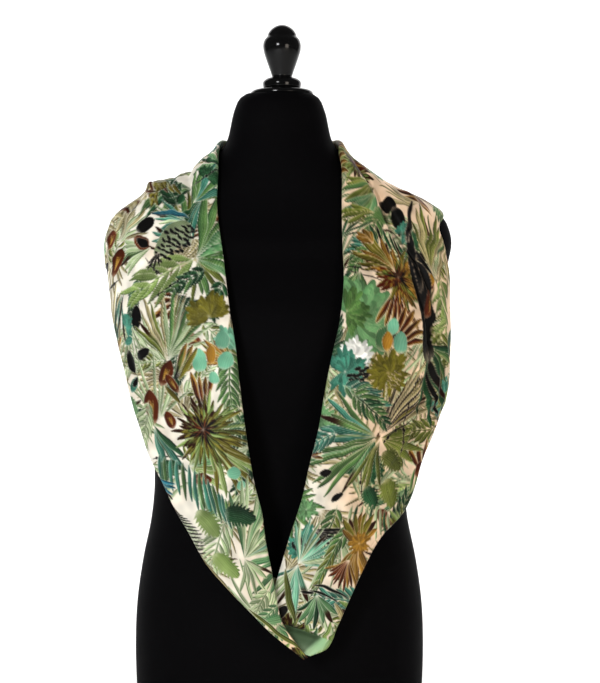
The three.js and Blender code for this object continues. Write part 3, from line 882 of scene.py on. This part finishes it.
def dashes(cloth, x, z, angle, size, family="black", rows=5, count=5, length=7, half=1, share=0.8):
    """Oval patch of short marks, woven like a basket."""
    rng = cloth.rng
    for r in range(rows):
        for k in range(count):
            u = size * ((r + 0.5) / rows - 0.5) + rng.uniform(-0.8, 0.8)
            w = size * share * ((k + 0.5 * (r % 2) + 0.25) / count - 0.5) + rng.uniform(-0.8, 0.8)
            if (u / size) ** 2 + (w / size / share) ** 2 > 0.24:
                continue
            turn = angle - 90 + (10 if (r + k) % 2 else -10) + rng.uniform(-8, 8)
            blade(cloth, *moved(x, z, angle, u, w), turn, length, half, family, halo=0.3, sharp=1.2)


def twig(cloth, x, z, angle, size, bend=0.2, beads=3):
    """Thin dark line with small beads."""
    rng = cloth.rng
    blade(cloth, x, z, angle, size, 0.6, "black", bend=bend, halo=0.3, sharp=0.8)
    for _ in range(beads):
        t = rng.uniform(0.2, 0.95)
        spot = moved(x, z, angle, size * t, bend * size * t * t)
        oval(cloth, *spot, angle + 40, rng.uniform(3, 5.5), "black")


def patch(cloth, x, z, size, family, angle, count, spread):
    """Broad soft leaf with a feathered edge: many thin blades of one colour round a hub."""
    rng = cloth.rng
    for reach in (1, 0.8, 0.6):
        for k in range(2 * count):
            turn = angle + spread * ((k + 0.5) / count / 2 - 0.5) + rng.uniform(-5, 5)
            length = size * reach * rng.uniform(0.75, 1.08)
            blade(
                cloth, x, z, turn, length, size * 0.11, family,
                bend=rng.uniform(-0.08, 0.08), belly=0.62, sharp=1.2, halo=0, lines=0.12,
            )


def bar(cloth, x, z, angle, length, half, family, bend=0.0):
    """One plain blade."""
    blade(cloth, x, z, angle, length, half, family, bend=bend, sharp=1.2)


# Placed motifs of each half, laid in this order: motif, x, z, then its own sizes
LEFT_PRINT = [
    (fan, -196, 612, 222, 62, "straw", 70, 12, 2),
    (fan, -118, 556, 116, 92, "moss", 36, 7, 2.8, "green"),
    (fan, -132, 640, 214, 76, "green", 44, 7, 3, "deep"),
    (fan, -112, 626, 250, 70, "deep", 40, 6, 3, "teal"),
    (fan, -168, 556, 200, 60, "pale", 60, 7, 2.8, "green"),
    (frond, -150, 660, 196, 70, "moss", 7, 0.5, 2.8, 0.2),
    (fan, -222, 560, 48, 56, "straw", 60, 9, 1.9, "pale"),
    (fan, -126, 426, 92, 84, "straw", 84, 13, 2.2, "moss"),
    (fan, -124, 428, 58, 76, "pale", 70, 8, 2.6, "green"),
    (fan, -200, 500, 262, 70, "teal", 22, 4, 1.6, "straw"),
    (frond, -52, 262, 244, 92, "pale", 11, 0.4, 2.4),
    (fan, -146, 352, -62, 66, "teal", 34, 5, 3.4, "deep"),
    (patch, -134, 312, 26, "deep", -60, 8, 90),
    (comb, -138, 318, -30, 92, "teal", 14, 50, 2.3, -58, "green"),
    (frond, -104, 542, 210, 92, "lime", 6, 0.64, 5.2, 0.02, 40),
    (fan, -106, 544, 66, 112, "green", 54, 6, 4.6, "fresh"),
    (fan, -104, 540, -46, 62, "green", 56, 6, 3.4, "moss"),
    (fan, -106, 542, 12, 62, "green", 62, 5, 4.8, "fresh"),
    (fan, -124, 616, 60, 60, "green", 80, 6, 3.8, "teal"),
    (frond, -144, 606, 118, 46, "deep", 5, 0.6, 4, 0.1),
    (patch, -112, 652, 17, "deep", 60, 8, 220),
    (twig, -126, 640, 40, 44, 0.2, 2),
    (comb, -196, 630, 8, 40, "olive", 7, 24, 2.2, -66, "rust"),
    (frond, -168, 640, 250, 34, "olive", 6, 0.5, 2.6, 0.3),
    (fan, -128, 592, 184, 50, "teal", 44, 6, 2.2, "pale"),
    (bar, -128, 598, 176, 46, 3, "blue", 0.14),
    (fan, -136, 572, 190, 40, "teal", 30, 4, 2),
    (oval, -142, 566, 58, 62, "pale", 0.24),
    (dashes, -142, 564, 58, 62, "black", 10, 5, 9, 1.7, 0.56),
    (fan, -156, 548, 256, 26, "black", 50, 4, 1.5),
    (bud, -181, 581, 38, 26, "black", 0.3),
    (bud, -182, 561, -22, 25, "rust", 0.28),
    (bud, -181, 561, -22, 20, "black", 0.22),
    (bud, -217, 535, 86, 34, "rust", 0.27),
    (bud, -234, 562, 76, 20, "rust"),
    (frond, -88, 528, 214, 50, "deep", 6, 0.5, 3.2, 0.1, 48, "green"),
    (frond, -62, 516, 250, 46, "deep", 6, 0.5, 3, 0.1),
    (twig, -156, 490, 20, 60, 0.3, 4),
    (patch, -74, 474, 28, "olive", 110, 9, 190),
    (patch, -44, 440, 30, "mint", 60, 9, 190),
    (fan, -46, 426, 150, 40, "gold", 60, 8, 2.2, "olive"),
    (frond, -48, 440, 262, 76, "green", 10, 0.4, 2.8),
    (petals, -82, 368, 90, 44, "rust", 4, 44, 3.2),
    (petals, -118, 404, 52, 44, "moss", 4, 36, 3.2),
    (oval, -85, 427, 90, 25, "mint", 0.36),
    (oval, -58, 450, 80, 20, "mint", 0.42),
    (oval, -54, 428, 70, 19, "mint", 0.42),
    (oval, -68, 408, 100, 15, "mint"),
    (bud, -71, 434, 95, 20, "gold", 0.3),
    (fan, -74, 338, -54, 78, "olive", 56, 9, 3, "lime"),
    (burst, -82, 348, 46, 150, ("olive", "lime", "moss", "olive")),
    (oval, -48, 300, 10, 16, "mint"),
    (oval, -40, 286, 60, 12, "mint"),
    (bud, -128, 412, 66, 34, "rust", 0.27),
    (bud, -120, 400, 128, 26, "rust", 0.2),
    (bar, -112, 404, 56, 44, 3, "olive"),
    (bud, -148, 372, 98, 40, "rust", 0.26),
    (bar, -130, 396, -40, 26, 3, "olive"),
    (bud, -176, 397, 70, 20, "teal"),
    (bud, -174, 400, 60, 14, "black"),
    (bud, -182, 423, -64, 28, "black", 0.24),
    (patch, -190, 462, 16, "teal", 30, 7, 200),
    (bud, -184, 446, 20, 18, "teal", 0.3),
    (frond, -150, 380, 250, 64, "pale", 9, 0.4, 2.2),
    (jag, -80, 241, -50, 38, "lime", 0.32),
    (jag, -60, 194, -46, 38, "lime", 0.28),
    (fan, -150, 290, -30, 36, "blue", 40, 5, 2),
    (comb, -142, 262, -52, 70, "black", 15, 22, 0.8, 40),
    (fan, -38, 204, 74, 96, "pale", 46, 9, 2.4, "fresh"),
    (fan, -38, 204, 36, 56, "pale", 40, 5, 2, "mint"),
    (fan, -38, 204, 300, 44, "pale", 70, 6, 2),
    (jag, -42, 252, -14, 36, "deep", 0.36),
    (frond, -12, 170, 236, 40, "pale", 6, 0.5, 2.4),
    (frond, 0, 150, 214, 34, "fresh", 5, 0.5, 2.2),
    (jag, -6, 134, 10, 22, "fresh", 0.3),
    (fan, -2, 130, -70, 24, "fresh", 70, 4, 2),
    (bar, -36, 146, -40, 78, 2.2, "moss", 0.05),
    (bar, -96, 206, -44, 70, 2.4, "straw", -0.06),
    (comb, -238, 588, 24, 44, "straw", 6, 26, 2.6, -30, "rust"),
    (bar, -226, 604, 26, 58, 1.6, "rust", 0.3),
    (bar, -204, 618, -8, 44, 1.5, "rust", 0.35),
    (bar, -214, 590, 30, 40, 1.6, "black", 0.2),
    (twig, -142, 520, 168, 34, -0.4, 3),
    (bar, -208, 500, 262, 70, 1.6, "deep", 0.04),
    (bar, -196, 500, 258, 56, 1.2, "black", -0.05),
]
RIGHT_PRINT = [
    (fan, 196, 520, 84, 84, "straw", 46, 8, 2.6, "moss"),
    (fan, 112, 342, 62, 104, "straw", 58, 15, 2.1, "olive"),
    (fan, 112, 342, 54, 96, "black", 44, 7, 0.9),
    (fan, 150, 640, 186, 62, "green", 50, 6, 3.2, "moss"),
    (fan, 138, 628, 214, 52, "green", 46, 5, 3.4, "fresh"),
    (fan, 128, 604, 176, 42, "moss", 50, 4, 3),
    (frond, 136, 600, 238, 60, "green", 8, 0.5, 3),
    (frond, 130, 566, 196, 44, "teal", 7, 0.6, 2.4, 0.1, 48, "deep"),
    (fan, 84, 574, 30, 40, "deep", 60, 4, 1.6),
    (frond, 118, 556, 214, 44, "green", 7, 0.5, 3),
    (twig, 72, 528, -6, 60, -0.3, 2),
    (twig, 74, 534, -4, 60, -0.3, 1),
    (fan, 96, 526, 236, 44, "fresh", 70, 6, 2.8, "green"),
    (fan, 216, 592, 126, 66, "rust", 22, 6, 2.6, "gold"),
    (fan, 190, 640, -40, 50, "rust", 24, 4, 2, "straw"),
    (fan, 196, 606, 150, 48, "straw", 50, 6, 2.2),
    (jag, 138, 598, -60, 32, "green"),
    (comb, 122, 586, -38, 56, "deep", 8, 40, 2, -40, "black"),
    (bud, 156, 612, -34, 24, "black", 0.33),
    (bud, 164, 592, -82, 27, "black", 0.36),
    (patch, 168, 572, 13, "teal", 20, 7, 260),
    (patch, 178, 561, 12, "deep", 20, 6, 240),
    (bar, 170, 566, -70, 60, 3, "black", 0.1),
    (bud, 186, 510, 100, 24, "rust", 0.26),
    (patch, 78, 474, 52, "fresh", 15, 16, 250),
    (patch, 66, 482, 30, "green", 0, 8, 160),
    (oval, 112, 452, 60, 28, "fresh", 0.4),
    (petals, 132, 504, -96, 46, "rust", 6, 84, 3),
    (petals, 118, 446, 30, 50, "rust", 5, 66, 3),
    (fan, 138, 520, 132, 50, "gold", 54, 8, 2.6, "olive"),
    (burst, 142, 516, 38, 200, ("gold", "olive", "gold", "moss"), RUST),
    (fan, 138, 522, 124, 60, "gold", 50, 8, 3.4, "olive"),
    (fan, 120, 560, 118, 22, "gold", 60, 4, 2.6),
    (patch, 76, 434, 22, "white", 90, 12, 360),
    (patch, 66, 416, 28, "teal", 10, 11, 300),
    (dashes, 80, 412, 90, 16, "black", 3, 5, 8, 1.9, 1.6),
    (patch, 118, 414, 27, "olive", 80, 12, 330),
    (dashes, 122, 408, 60, 24, "straw", 5, 4, 6, 0.8),
    (oval, 132, 447, 92, 24, "mint", 0.36),
    (oval, 123, 464, 60, 17, "mint"),
    (bud, 116, 449, 88, 22, "gold", 0.3),
    (frond, 64, 400, -16, 58, "fresh", 9, 0.5, 2.8, -0.2, 48, "teal"),
    (frond, 74, 392, -34, 60, "deep", 8, 0.5, 2.8, -0.1, 48, "green"),
    (frond, 214, 520, 262, 90, "lime", 10, 0.4, 3),
    (bud, 188, 512, 60, 15, "gold", 0.34),
    (frond, 206, 460, 256, 80, "moss", 10, 0.36, 2.6),
    (fan, 108, 340, 168, 84, "green", 52, 8, 3.6, "teal"),
    (fan, 108, 338, 214, 104, "green", 44, 7, 3.4, "fresh"),
    (fan, 112, 336, 250, 70, "moss", 34, 4, 2.4),
    (fan, 114, 340, -18, 62, "moss", 64, 5, 5),
    (twig, 152, 388, -104, 70, 0.1, 7),
    (twig, 160, 360, 200, 50, 0.2, 3),
    (jag, 129, 312, -44, 32, "moss", 0.35),
    (jag, 129, 275, -76, 35, "moss", 0.36),
    (jag, 105, 270, -66, 30, "deep", 0.36),
    (comb, 84, 262, -12, 46, "pale", 9, 40, 1.8, -84, "deep"),
    (frond, 66, 262, 250, 70, "green", 9, 0.36, 2.6, 0.1, 48, "moss"),
    (bud, 50, 300, 8, 15, "black", 0.25),
    (bud, 65, 272, 30, 17, "black", 0.24),
    (petals, 24, 322, -6, 26, "rust", 2, 30, 1.8),
    (frond, 60, 345, 200, 46, "teal", 7, 0.5, 2.4),
    (patch, 30, 258, 14, "fresh", 90, 9, 360),
    (patch, 31, 216, 24, "teal", 60, 11, 330),
    (fan, 38, 236, -24, 44, "black", 40, 5, 1.8),
    (dashes, 22, 222, 20, 16, "black", 3, 3, 9, 1.4),
    (fan, 23, 196, 46, 58, "mint", 100, 12, 1.7, "pale"),
    (fan, 23, 194, 250, 62, "pale", 80, 9, 2, "teal"),
    (fan, 23, 194, 268, 54, "mint", 30, 3, 2.8, "teal"),
    (frond, 84, 246, 240, 96, "green", 10, 0.3, 2.4, 0.05, 30, "moss"),
    (fan, 92, 212, 92, 44, "gold", 76, 9, 3.6, "olive"),
    (fan, 94, 216, 258, 50, "gold", 60, 8, 3.2, "olive"),
    (fan, 84, 198, 238, 40, "rust", 80, 10, 1.8, "gold"),
    (patch, 93, 218, 15, "gold", 90, 8, 360),
    (bar, 40, 172, -6, 44, 1.5, "black", -0.3),
    (bar, 36, 166, -8, 36, 1.3, "black", -0.3),
    (bar, 26, 164, -4, 16, 1.6, "black"),
    (fan, 46, 160, -92, 40, "fresh", 96, 7, 2.8, "deep"),
    # moss bar along the turned inner edge above the pocket: painted shade of the roll, drawn as a leaf
    (bar, 8, 190, -82, 64, 3.4, "moss", 0.06),
    (bar, 66, 150, -60, 44, 3, "straw"),
    (fan, 173, 442, -74, 96, "deep", 36, 5, 4, "black"),
    (fan, 178, 446, -36, 72, "green", 44, 4, 3.4, "deep"),
    # black bars down the hollow of the deep tuck: black leaf print, and painted shade that darkens the hollow
    (bar, 181, 424, 92, 112, 14, "black"),
    (bar, 172, 424, 91, 124, 9, "black"),
    (bar, 170, 500, 84, 84, 4.5, "black", 0.04),
    (bar, 172, 560, 74, 56, 3, "black", -0.05),
    (bud, 183, 488, 80, 30, "rust", 0.24),
]

# Scattered motifs: step and shake of their grid, least distance from a placed one, shift of the small ones
FILL_STEP = 40
FILL_SHAKE = 14
BIG_GAP = 27
SMALL_GAP = 22
SMALL_SHIFT = 12
GREENS = ("green", "fresh", "deep", "teal", "lime", "moss")


def scatter(cloth, placed, seed):
    """Motifs over the rest of the cloth, on a shaken grid that keeps clear of the placed ones."""
    rng = np.random.default_rng(seed)
    high = cloth.low + CELL * np.array(cloth.rgb.shape[1::-1])
    taken = np.array([(row[1], row[2]) for row in placed])

    def is_free(x, z, gap):
        return np.hypot(taken[:, 0] - x, taken[:, 1] - z).min() >= gap

    def shaken(value):
        return value + rng.uniform(-FILL_SHAKE, FILL_SHAKE)

    spots = []
    for x in np.arange(cloth.low[0], high[0], FILL_STEP):
        for z in np.arange(cloth.low[1], high[1], FILL_STEP):
            spots.append((shaken(x), shaken(z)))
    rng.shuffle(spots)
    for x, z in spots:
        if rng.random() < 0.5:
            turn, size = rng.uniform(0, 360), rng.uniform(50, 80)
            fan(cloth, x, z, turn, size, one_of(rng, ("pale", "straw")), 110, 11, 1.9)
        if rng.random() < 0.2:
            frond(cloth, x, z, rng.uniform(0, 360), rng.uniform(50, 80), "pale", 9, 0.4, 2, 0.2, 48, "moss")
    for x, z in spots:
        if not is_free(x, z, BIG_GAP):
            continue
        kind = one_of(rng, GREENS)
        turn = rng.uniform(0, 360)
        pick = rng.random()
        if pick < 0.32:
            fan(cloth, x, z, turn, rng.uniform(50, 75), kind, 130, 11, 3.2, one_of(rng, GREENS))
        elif pick < 0.64:
            frond(cloth, x, z, turn, rng.uniform(50, 75), kind, 9, 0.45, 3, rng.uniform(-0.2, 0.25))
        elif pick < 0.76:
            burst(cloth, x, z, rng.uniform(30, 40), turn)
        elif pick < 0.84:
            jag(cloth, x, z, turn, rng.uniform(28, 38), kind)
        elif pick < 0.93:
            comb(cloth, x, z, turn, 50, kind, 9, 36, 2)
        else:
            patch(cloth, x, z, 28, kind, turn, 11, 280)
    for x, z in spots:
        if not is_free(x + SMALL_SHIFT, z, SMALL_GAP):
            continue
        pick = rng.random()
        if pick < 0.3:
            turn, size = rng.uniform(0, 180), rng.uniform(18, 30)
            bud(cloth, x + SMALL_SHIFT, z, turn, size, one_of(rng, ("black", "rust")))
        elif pick < 0.5:
            twig(cloth, x, z + 10, rng.uniform(0, 360), rng.uniform(30, 50))
        elif pick < 0.62:
            dashes(cloth, x, z, rng.uniform(0, 180), 30)
        elif pick < 0.75:
            petals(cloth, x + SMALL_SHIFT, z + 8, rng.uniform(0, 360), 40)


def ground(cloth, warm_low, warm_high):
    """Bare cloth: cream, turning warmer from one x to another, with slow uneven patches."""
    rows, columns = cloth.rgb.shape[:2]
    x = cloth.low[0] + CELL * np.arange(columns)[None] + np.zeros((rows, 1))
    z = cloth.low[1] + CELL * np.arange(rows)[:, None] + np.zeros((1, columns))
    warm = np.clip(smooth(warm_low, warm_high, x) + 0.2 * PATCHES.at(x, z), 0, 1)[..., None]
    cloth.rgb[:] = np.array(CREAM) * (1 - warm) + np.array(BEIGE) * warm
    cloth.bare = cloth.rgb.copy()


def print_half(places, seed, placed, warm_low, warm_high):
    """Printed cloth of one half of the loop, large enough for its flat places."""
    cloth = Cloth(places.min(0), places.max(0), seed)
    ground(cloth, warm_low, warm_high)
    scatter(cloth, placed, seed + 1)
    for motif, x, z, *sizes in placed:
        motif(cloth, x, z, *sizes)
    cloth.rgb **= INK_DEPTH
    return cloth


def pocket_cover(s, v):
    """Share and colour of the plain green leaf in the pocket under the crease of the right band, with painted
    shade under the crease and painted light past it.
    """
    # The leaf starts at a slanting line, has painted shade under the crease up to a slanting edge and painted
    # light past it, and grows paler towards the tip.
    edge = POCKET_START[0] + POCKET_START[1] * v
    cover = smooth(edge - 0.05, edge + 0.12, s) * smooth(1, 0.8, v)
    shade_edge, slope, station = POCKET_SHADE_EDGE
    light = smooth(-0.07, 0.07, v - (shade_edge - slope * (s - station)))[:, None]
    colour = np.array(POCKET_SHADED_GREEN) * (1 - light) + np.array(POCKET_LIT_GREEN) * light
    pale_from, pale_to, most = POCKET_PALER
    paler = smooth(pale_from, pale_to, s)[:, None] * most
    return cover[:, None], colour * (1 - paler) + np.array(PALE_GREEN) * paler


# Meshes
def new_object(name, points, faces):
    """Smooth-shaded mesh object from points in millimetres and faces of one size."""
    mesh = bpy.data.meshes.new(name)
    points = np.asarray(points, float).reshape(-1, 3) * MM
    faces = np.asarray(faces, np.int32)
    mesh.vertices.add(len(points))
    mesh.vertices.foreach_set("co", points.ravel())
    mesh.loops.add(faces.size)
    mesh.loops.foreach_set("vertex_index", faces.ravel())
    mesh.polygons.add(len(faces))
    mesh.polygons.foreach_set("loop_start", np.arange(0, faces.size, faces.shape[1], dtype=np.int32))
    mesh.update(calc_edges=True)
    mesh.validate()
    mesh.shade_smooth()
    made = bpy.data.objects.new(name, mesh)
    bpy.context.scene.collection.objects.link(made)
    return made


def grid_faces(rows, columns, closed=False):
    """Faces of a grid of points, rows by columns. closed joins the last column to the first."""
    wide = columns if closed else columns - 1
    i, j = np.meshgrid(np.arange(rows - 1), np.arange(wide), indexing="ij")
    k = (j + 1) % columns
    a, b = i * columns + j, i * columns + k
    return np.stack([a, a + columns, b + columns, b], -1).reshape(-1, 4)


def loft(name, rings):
    """Closed body through rings from below up, each anticlockwise seen from above."""
    rings = np.asarray(rings)
    rows, sides = rings.shape[:2]
    points = np.concatenate([rings.reshape(-1, 3), [rings[0].mean(0), rings[-1].mean(0)]])
    quads = grid_faces(rows, sides, closed=True)[:, [0, 3, 2, 1]]
    j = np.arange(sides)
    k = (j + 1) % sides
    top = (rows - 1) * sides
    low, high = np.full(sides, rows * sides), np.full(sides, rows * sides + 1)
    caps = [np.stack([k, j, low], -1), np.stack([top + j, top + k, high], -1)]
    return new_object(name, points, np.concatenate([quads[:, [0, 1, 2]], quads[:, [0, 2, 3]], *caps]))


def circle(sides):
    """Cosine and sine of evenly spaced angles."""
    angle = 2 * math.pi * np.arange(sides) / sides
    return np.cos(angle), np.sin(angle)


def form_rings(sides, step):
    """Rings of the dress form, a little smaller at the very bottom."""
    top = FORM_LEVELS["z"][-1]
    heights = np.concatenate([[0, 0.6, 2], np.arange(5, top, step), [top]])
    c, s = circle(sides)
    rings = []
    for z in heights:
        sizes = (float(curve_at(FORM_LEVELS, name, z)) for name in ("half", "front", "back", "square"))
        half, front, back, square = sizes
        soft = 1 - 0.012 * max(0, 1 - z / 2)
        x = soft * half * np.sign(c) * np.abs(c) ** (2 / square)
        y = soft * np.where(s < 0, front, back) * np.sign(s) * np.abs(s) ** (2 / square)
        rings.append(np.stack([x, y, np.full(sides, z)], -1))
    return rings


def turned_rings(rows, sides, step):
    """Rings of a turned piece about the knob's axis."""
    low, high = rows["z"][0], rows["z"][-1]
    heights = np.linspace(low, high, max(int((high - low) / step), 8))
    c, s = circle(sides)
    rings = []
    for z, radius in zip(heights, curve_at(rows, "radius", heights)):
        rings.append(np.stack([KNOB_X + radius * c, radius * s, np.full(sides, z)], -1))
    return rings


# Materials
def new_material(name, base, roughness, specular):
    made = bpy.data.materials.new(name)
    made.use_nodes = True
    shader = made.node_tree.nodes["Principled BSDF"]
    shader.inputs["Base Color"].default_value = (*base, 1)
    shader.inputs["Roughness"].default_value = roughness
    shader.inputs["Specular IOR Level"].default_value = specular
    return made, made.node_tree, shader


def add_node(tree, kind, **inputs):
    made = tree.nodes.new(kind)
    for name, value in inputs.items():
        made.inputs[name.replace("_", " ")].default_value = value
    return made


def join(source, output, target, name):
    target.id_data.links.new(source.outputs[output], target.inputs[name])


def add_bump(tree, source, output, shader, strength, distance):
    bump = add_node(tree, "ShaderNodeBump", Strength=strength, Distance=distance)
    join(source, output, bump, "Height")
    join(bump, "Normal", shader, "Normal")


def silk_material():
    made, tree, shader = new_material("printed_silk", (0.5, 0.6, 0.4), 0.52, 0.08)
    shader.inputs["Sheen Weight"].default_value = 0.03
    shader.inputs["Sheen Roughness"].default_value = 0.4
    colour = tree.nodes.new("ShaderNodeAttribute")
    colour.attribute_name = "print"
    place = tree.nodes.new("ShaderNodeUVMap")
    place.uv_map = "flat"
    cloudy = add_node(tree, "ShaderNodeTexNoise", Scale=14.0, Detail=3.0, Roughness=0.6)
    join(place, "UV", cloudy, "Vector")
    spread = add_node(tree, "ShaderNodeMapRange", To_Min=0.93, To_Max=1.04)
    join(cloudy, "Fac", spread, "Value")
    shade = tree.nodes.new("ShaderNodeVectorMath")
    shade.operation = "SCALE"
    join(colour, "Color", shade, 0)
    join(spread, "Result", shade, "Scale")
    join(shade, "Vector", shader, "Base Color")
    # Plain weave: two sets of threads, about two to the millimetre
    weave = tree.nodes.new("ShaderNodeMath")
    weave.operation = "MULTIPLY"
    for socket, direction in enumerate(("X", "Y")):
        wave = add_node(tree, "ShaderNodeTexWave", Scale=620.0, Distortion=0.6, Detail=1.0)
        wave.wave_type = "BANDS"
        wave.bands_direction = direction
        join(place, "UV", wave, "Vector")
        join(wave, "Fac", weave, socket)
    add_bump(tree, weave, "Value", shader, 0.12, 0.0002)
    return made


def jersey_material():
    made, tree, shader = new_material("black_jersey", (0.0016, 0.0015, 0.0018), 0.7, 0.025)
    place = tree.nodes.new("ShaderNodeTexCoord")
    knit = add_node(tree, "ShaderNodeTexNoise", Scale=900.0, Detail=2.0, Roughness=0.5)
    join(place, "Object", knit, "Vector")
    add_bump(tree, knit, "Fac", shader, 0.15, 0.0003)
    return made


def lacquer_material():
    made, tree, shader = new_material("black_lacquer", (0.002, 0.002, 0.002), 0.1, 0.2)
    place = tree.nodes.new("ShaderNodeTexCoord")
    rub = add_node(tree, "ShaderNodeTexNoise", Scale=60.0, Detail=3.0, Roughness=0.6)
    join(place, "Object", rub, "Vector")
    spread = add_node(tree, "ShaderNodeMapRange", To_Min=0.07, To_Max=0.16)
    join(rub, "Fac", spread, "Value")
    join(spread, "Result", shader, "Roughness")
    return made


def to_linear(rgb):
    """Colours as seen on a screen, as linear light."""
    rgb = np.clip(rgb, 0, 1)
    return np.where(rgb <= 0.04045, rgb / 12.92, ((rgb + 0.055) / 1.055) ** 2.4)


def colour_cloth(made, rgb, flat_xz):
    """Print colour of each point, and the flat cloth as the mesh's own map in metres."""
    colours = made.data.color_attributes.new("print", "FLOAT_COLOR", "POINT")
    values = np.ones((len(rgb), 4), np.float32)
    values[:, :3] = to_linear(rgb)
    colours.data.foreach_set("color", values.ravel())
    corner = np.empty(len(made.data.loops), np.int32)
    made.data.loops.foreach_get("vertex_index", corner)
    flat_map = made.data.uv_layers.new(name="flat")
    flat_map.data.foreach_set("uv", (flat_xz[corner] * MM).astype(np.float32).ravel())


def dress(piece, node, material):
    """Give a piece its material and its body, and hide the solid that it stands for."""
    piece.data.materials.append(material)
    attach(piece, "root")
    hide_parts(node)


# Build
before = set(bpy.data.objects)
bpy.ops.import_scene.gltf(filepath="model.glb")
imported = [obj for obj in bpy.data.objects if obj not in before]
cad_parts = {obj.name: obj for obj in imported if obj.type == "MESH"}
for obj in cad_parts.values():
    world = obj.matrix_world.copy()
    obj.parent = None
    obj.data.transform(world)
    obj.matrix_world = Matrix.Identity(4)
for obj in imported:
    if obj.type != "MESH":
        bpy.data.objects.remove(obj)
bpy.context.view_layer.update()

silk = silk_material()
jersey = jersey_material()
lacquer = lacquer_material()

strips = flat_strips()
grids = {name: band_grid(strips, *sizes) for name, node, *sizes in STRETCHES}
turn_points, turn_flat = turn_grid(TURN_ALONG, TURN_ACROSS)
turn_places = turn_flat.reshape(-1, 2)

left_places = np.concatenate([flat[s < NAPE] for _, flat, s in grids.values()])
right_places = np.concatenate([*(flat[s >= NAPE] for _, flat, s in grids.values()), turn_places])
left_cloth = print_half(left_places, 11, LEFT_PRINT, -60, 40)
right_cloth = print_half(right_places, 23, RIGHT_PRINT, 20, 120)

for name, node, *_ in STRETCHES:
    points, flat_xz, s = grids[name]
    rows, columns = points.shape[:2]
    piece = new_object(name, points, grid_faces(rows, columns))
    flat_xz, s = flat_xz.reshape(-1, 2), s.ravel()
    rgb = np.where((s < NAPE)[:, None], left_cloth.at(*flat_xz.T), right_cloth.at(*flat_xz.T))
    if name == "cloth_right":
        cover, colour = pocket_cover(s, np.tile(np.linspace(0, 1, columns), rows))
        rgb = rgb + (colour - rgb) * cover
    colour_cloth(piece, rgb, flat_xz)
    dress(piece, node, silk)

turn = new_object("cloth_turn", turn_points, grid_faces(*turn_points.shape[:2]))
colour_cloth(turn, right_cloth.at(*turn_places.T), turn_places)
dress(turn, "scarf_turn", silk)

dress(loft("dress_form", form_rings(168, 5)), "form_body", jersey)
dress(loft("cap_disc", turned_rings(CAP_RINGS, 72, 0.5)), "neck_cap", lacquer)
dress(loft("turned_knob", turned_rings(KNOB_RINGS, 96, 0.7)), "knob", lacquer)

# Floor and backdrop in one sweep, in metres
FLOOR_HALF = 4.5
FLOOR_FRONT = -6.0
SWEEP_START = 1.6
SWEEP_RADIUS = 1.2
SWEEP_STEPS = 12
WALL_TOP = 5.0
sweep = [(FLOOR_FRONT, 0.0), (SWEEP_START, 0.0)]
for k in range(1, SWEEP_STEPS + 1):
    angle = math.pi / 2 * k / SWEEP_STEPS
    sweep.append((SWEEP_START + SWEEP_RADIUS * math.sin(angle), SWEEP_RADIUS * (1 - math.cos(angle))))
sweep.append((SWEEP_START + SWEEP_RADIUS, WALL_TOP))
sweep_points = [(x / MM, y / MM, z / MM) for y, z in sweep for x in (-FLOOR_HALF, FLOOR_HALF)]
floor = new_object("floor", sweep_points, grid_faces(len(sweep), 2)[:, ::-1])
floor.data.materials.append(new_material("paper", (0.93, 0.93, 0.93), 0.9, 0.5)[0])

# Light
world = bpy.context.scene.world or bpy.data.worlds.new("World")
bpy.context.scene.world = world
world.use_nodes = True
background = world.node_tree.nodes["Background"]
background.inputs["Color"].default_value = (0.97, 0.98, 1, 1)
background.inputs["Strength"].default_value = 0.16


def add_light(name, place, aim, size, power, colour, glossy=True):
    data = bpy.data.lights.new(name, "AREA")
    data.shape = "SQUARE"
    data.size = size
    data.energy = power
    data.color = colour
    made = bpy.data.objects.new(name, data)
    made.location = place
    made.rotation_euler = (Vector(aim) - Vector(place)).to_track_quat("-Z", "Y").to_euler()
    made.visible_glossy = glossy
    bpy.context.scene.collection.objects.link(made)


add_light("key", (-1.15, -2.5, 1.1), (0, 0, 0.45), 0.6, 45, (0.98, 0.99, 1))
add_light("fill", (1.6, -2.7, 0.6), (0, 0, 0.4), 1, 24, (1, 0.89, 0.76))
for side, name in ((-1, "backdrop_left"), (1, "backdrop_right")):
    add_light(name, (side * 2.2, 0.9, 2.6), (side * 0.4, 2.4, 0.6), 1.2, 90, (1, 1, 1), False)

# Camera, level with the bust. POINT_SIZE is one picture point at the form's middle, in metres.
CAMERA_BACK = 2.6
POINT_SIZE = 0.0012
PHOTO_WIDTH = 600
SENSOR = 36
camera_data = bpy.data.cameras.new("camera")
camera_data.sensor_fit = "HORIZONTAL"
camera_data.sensor_width = SENSOR
camera_data.lens = SENSOR * CAMERA_BACK / (PHOTO_WIDTH * POINT_SIZE)
camera_data.clip_end = 30
camera = bpy.data.objects.new("camera", camera_data)
camera.location = (0.0246, -CAMERA_BACK, 0.448)
camera.rotation_euler = (math.pi / 2, 0, 0)
bpy.context.scene.collection.objects.link(camera)
bpy.context.scene.camera = camera
bpy.context.scene.view_settings.view_transform = "Standard"
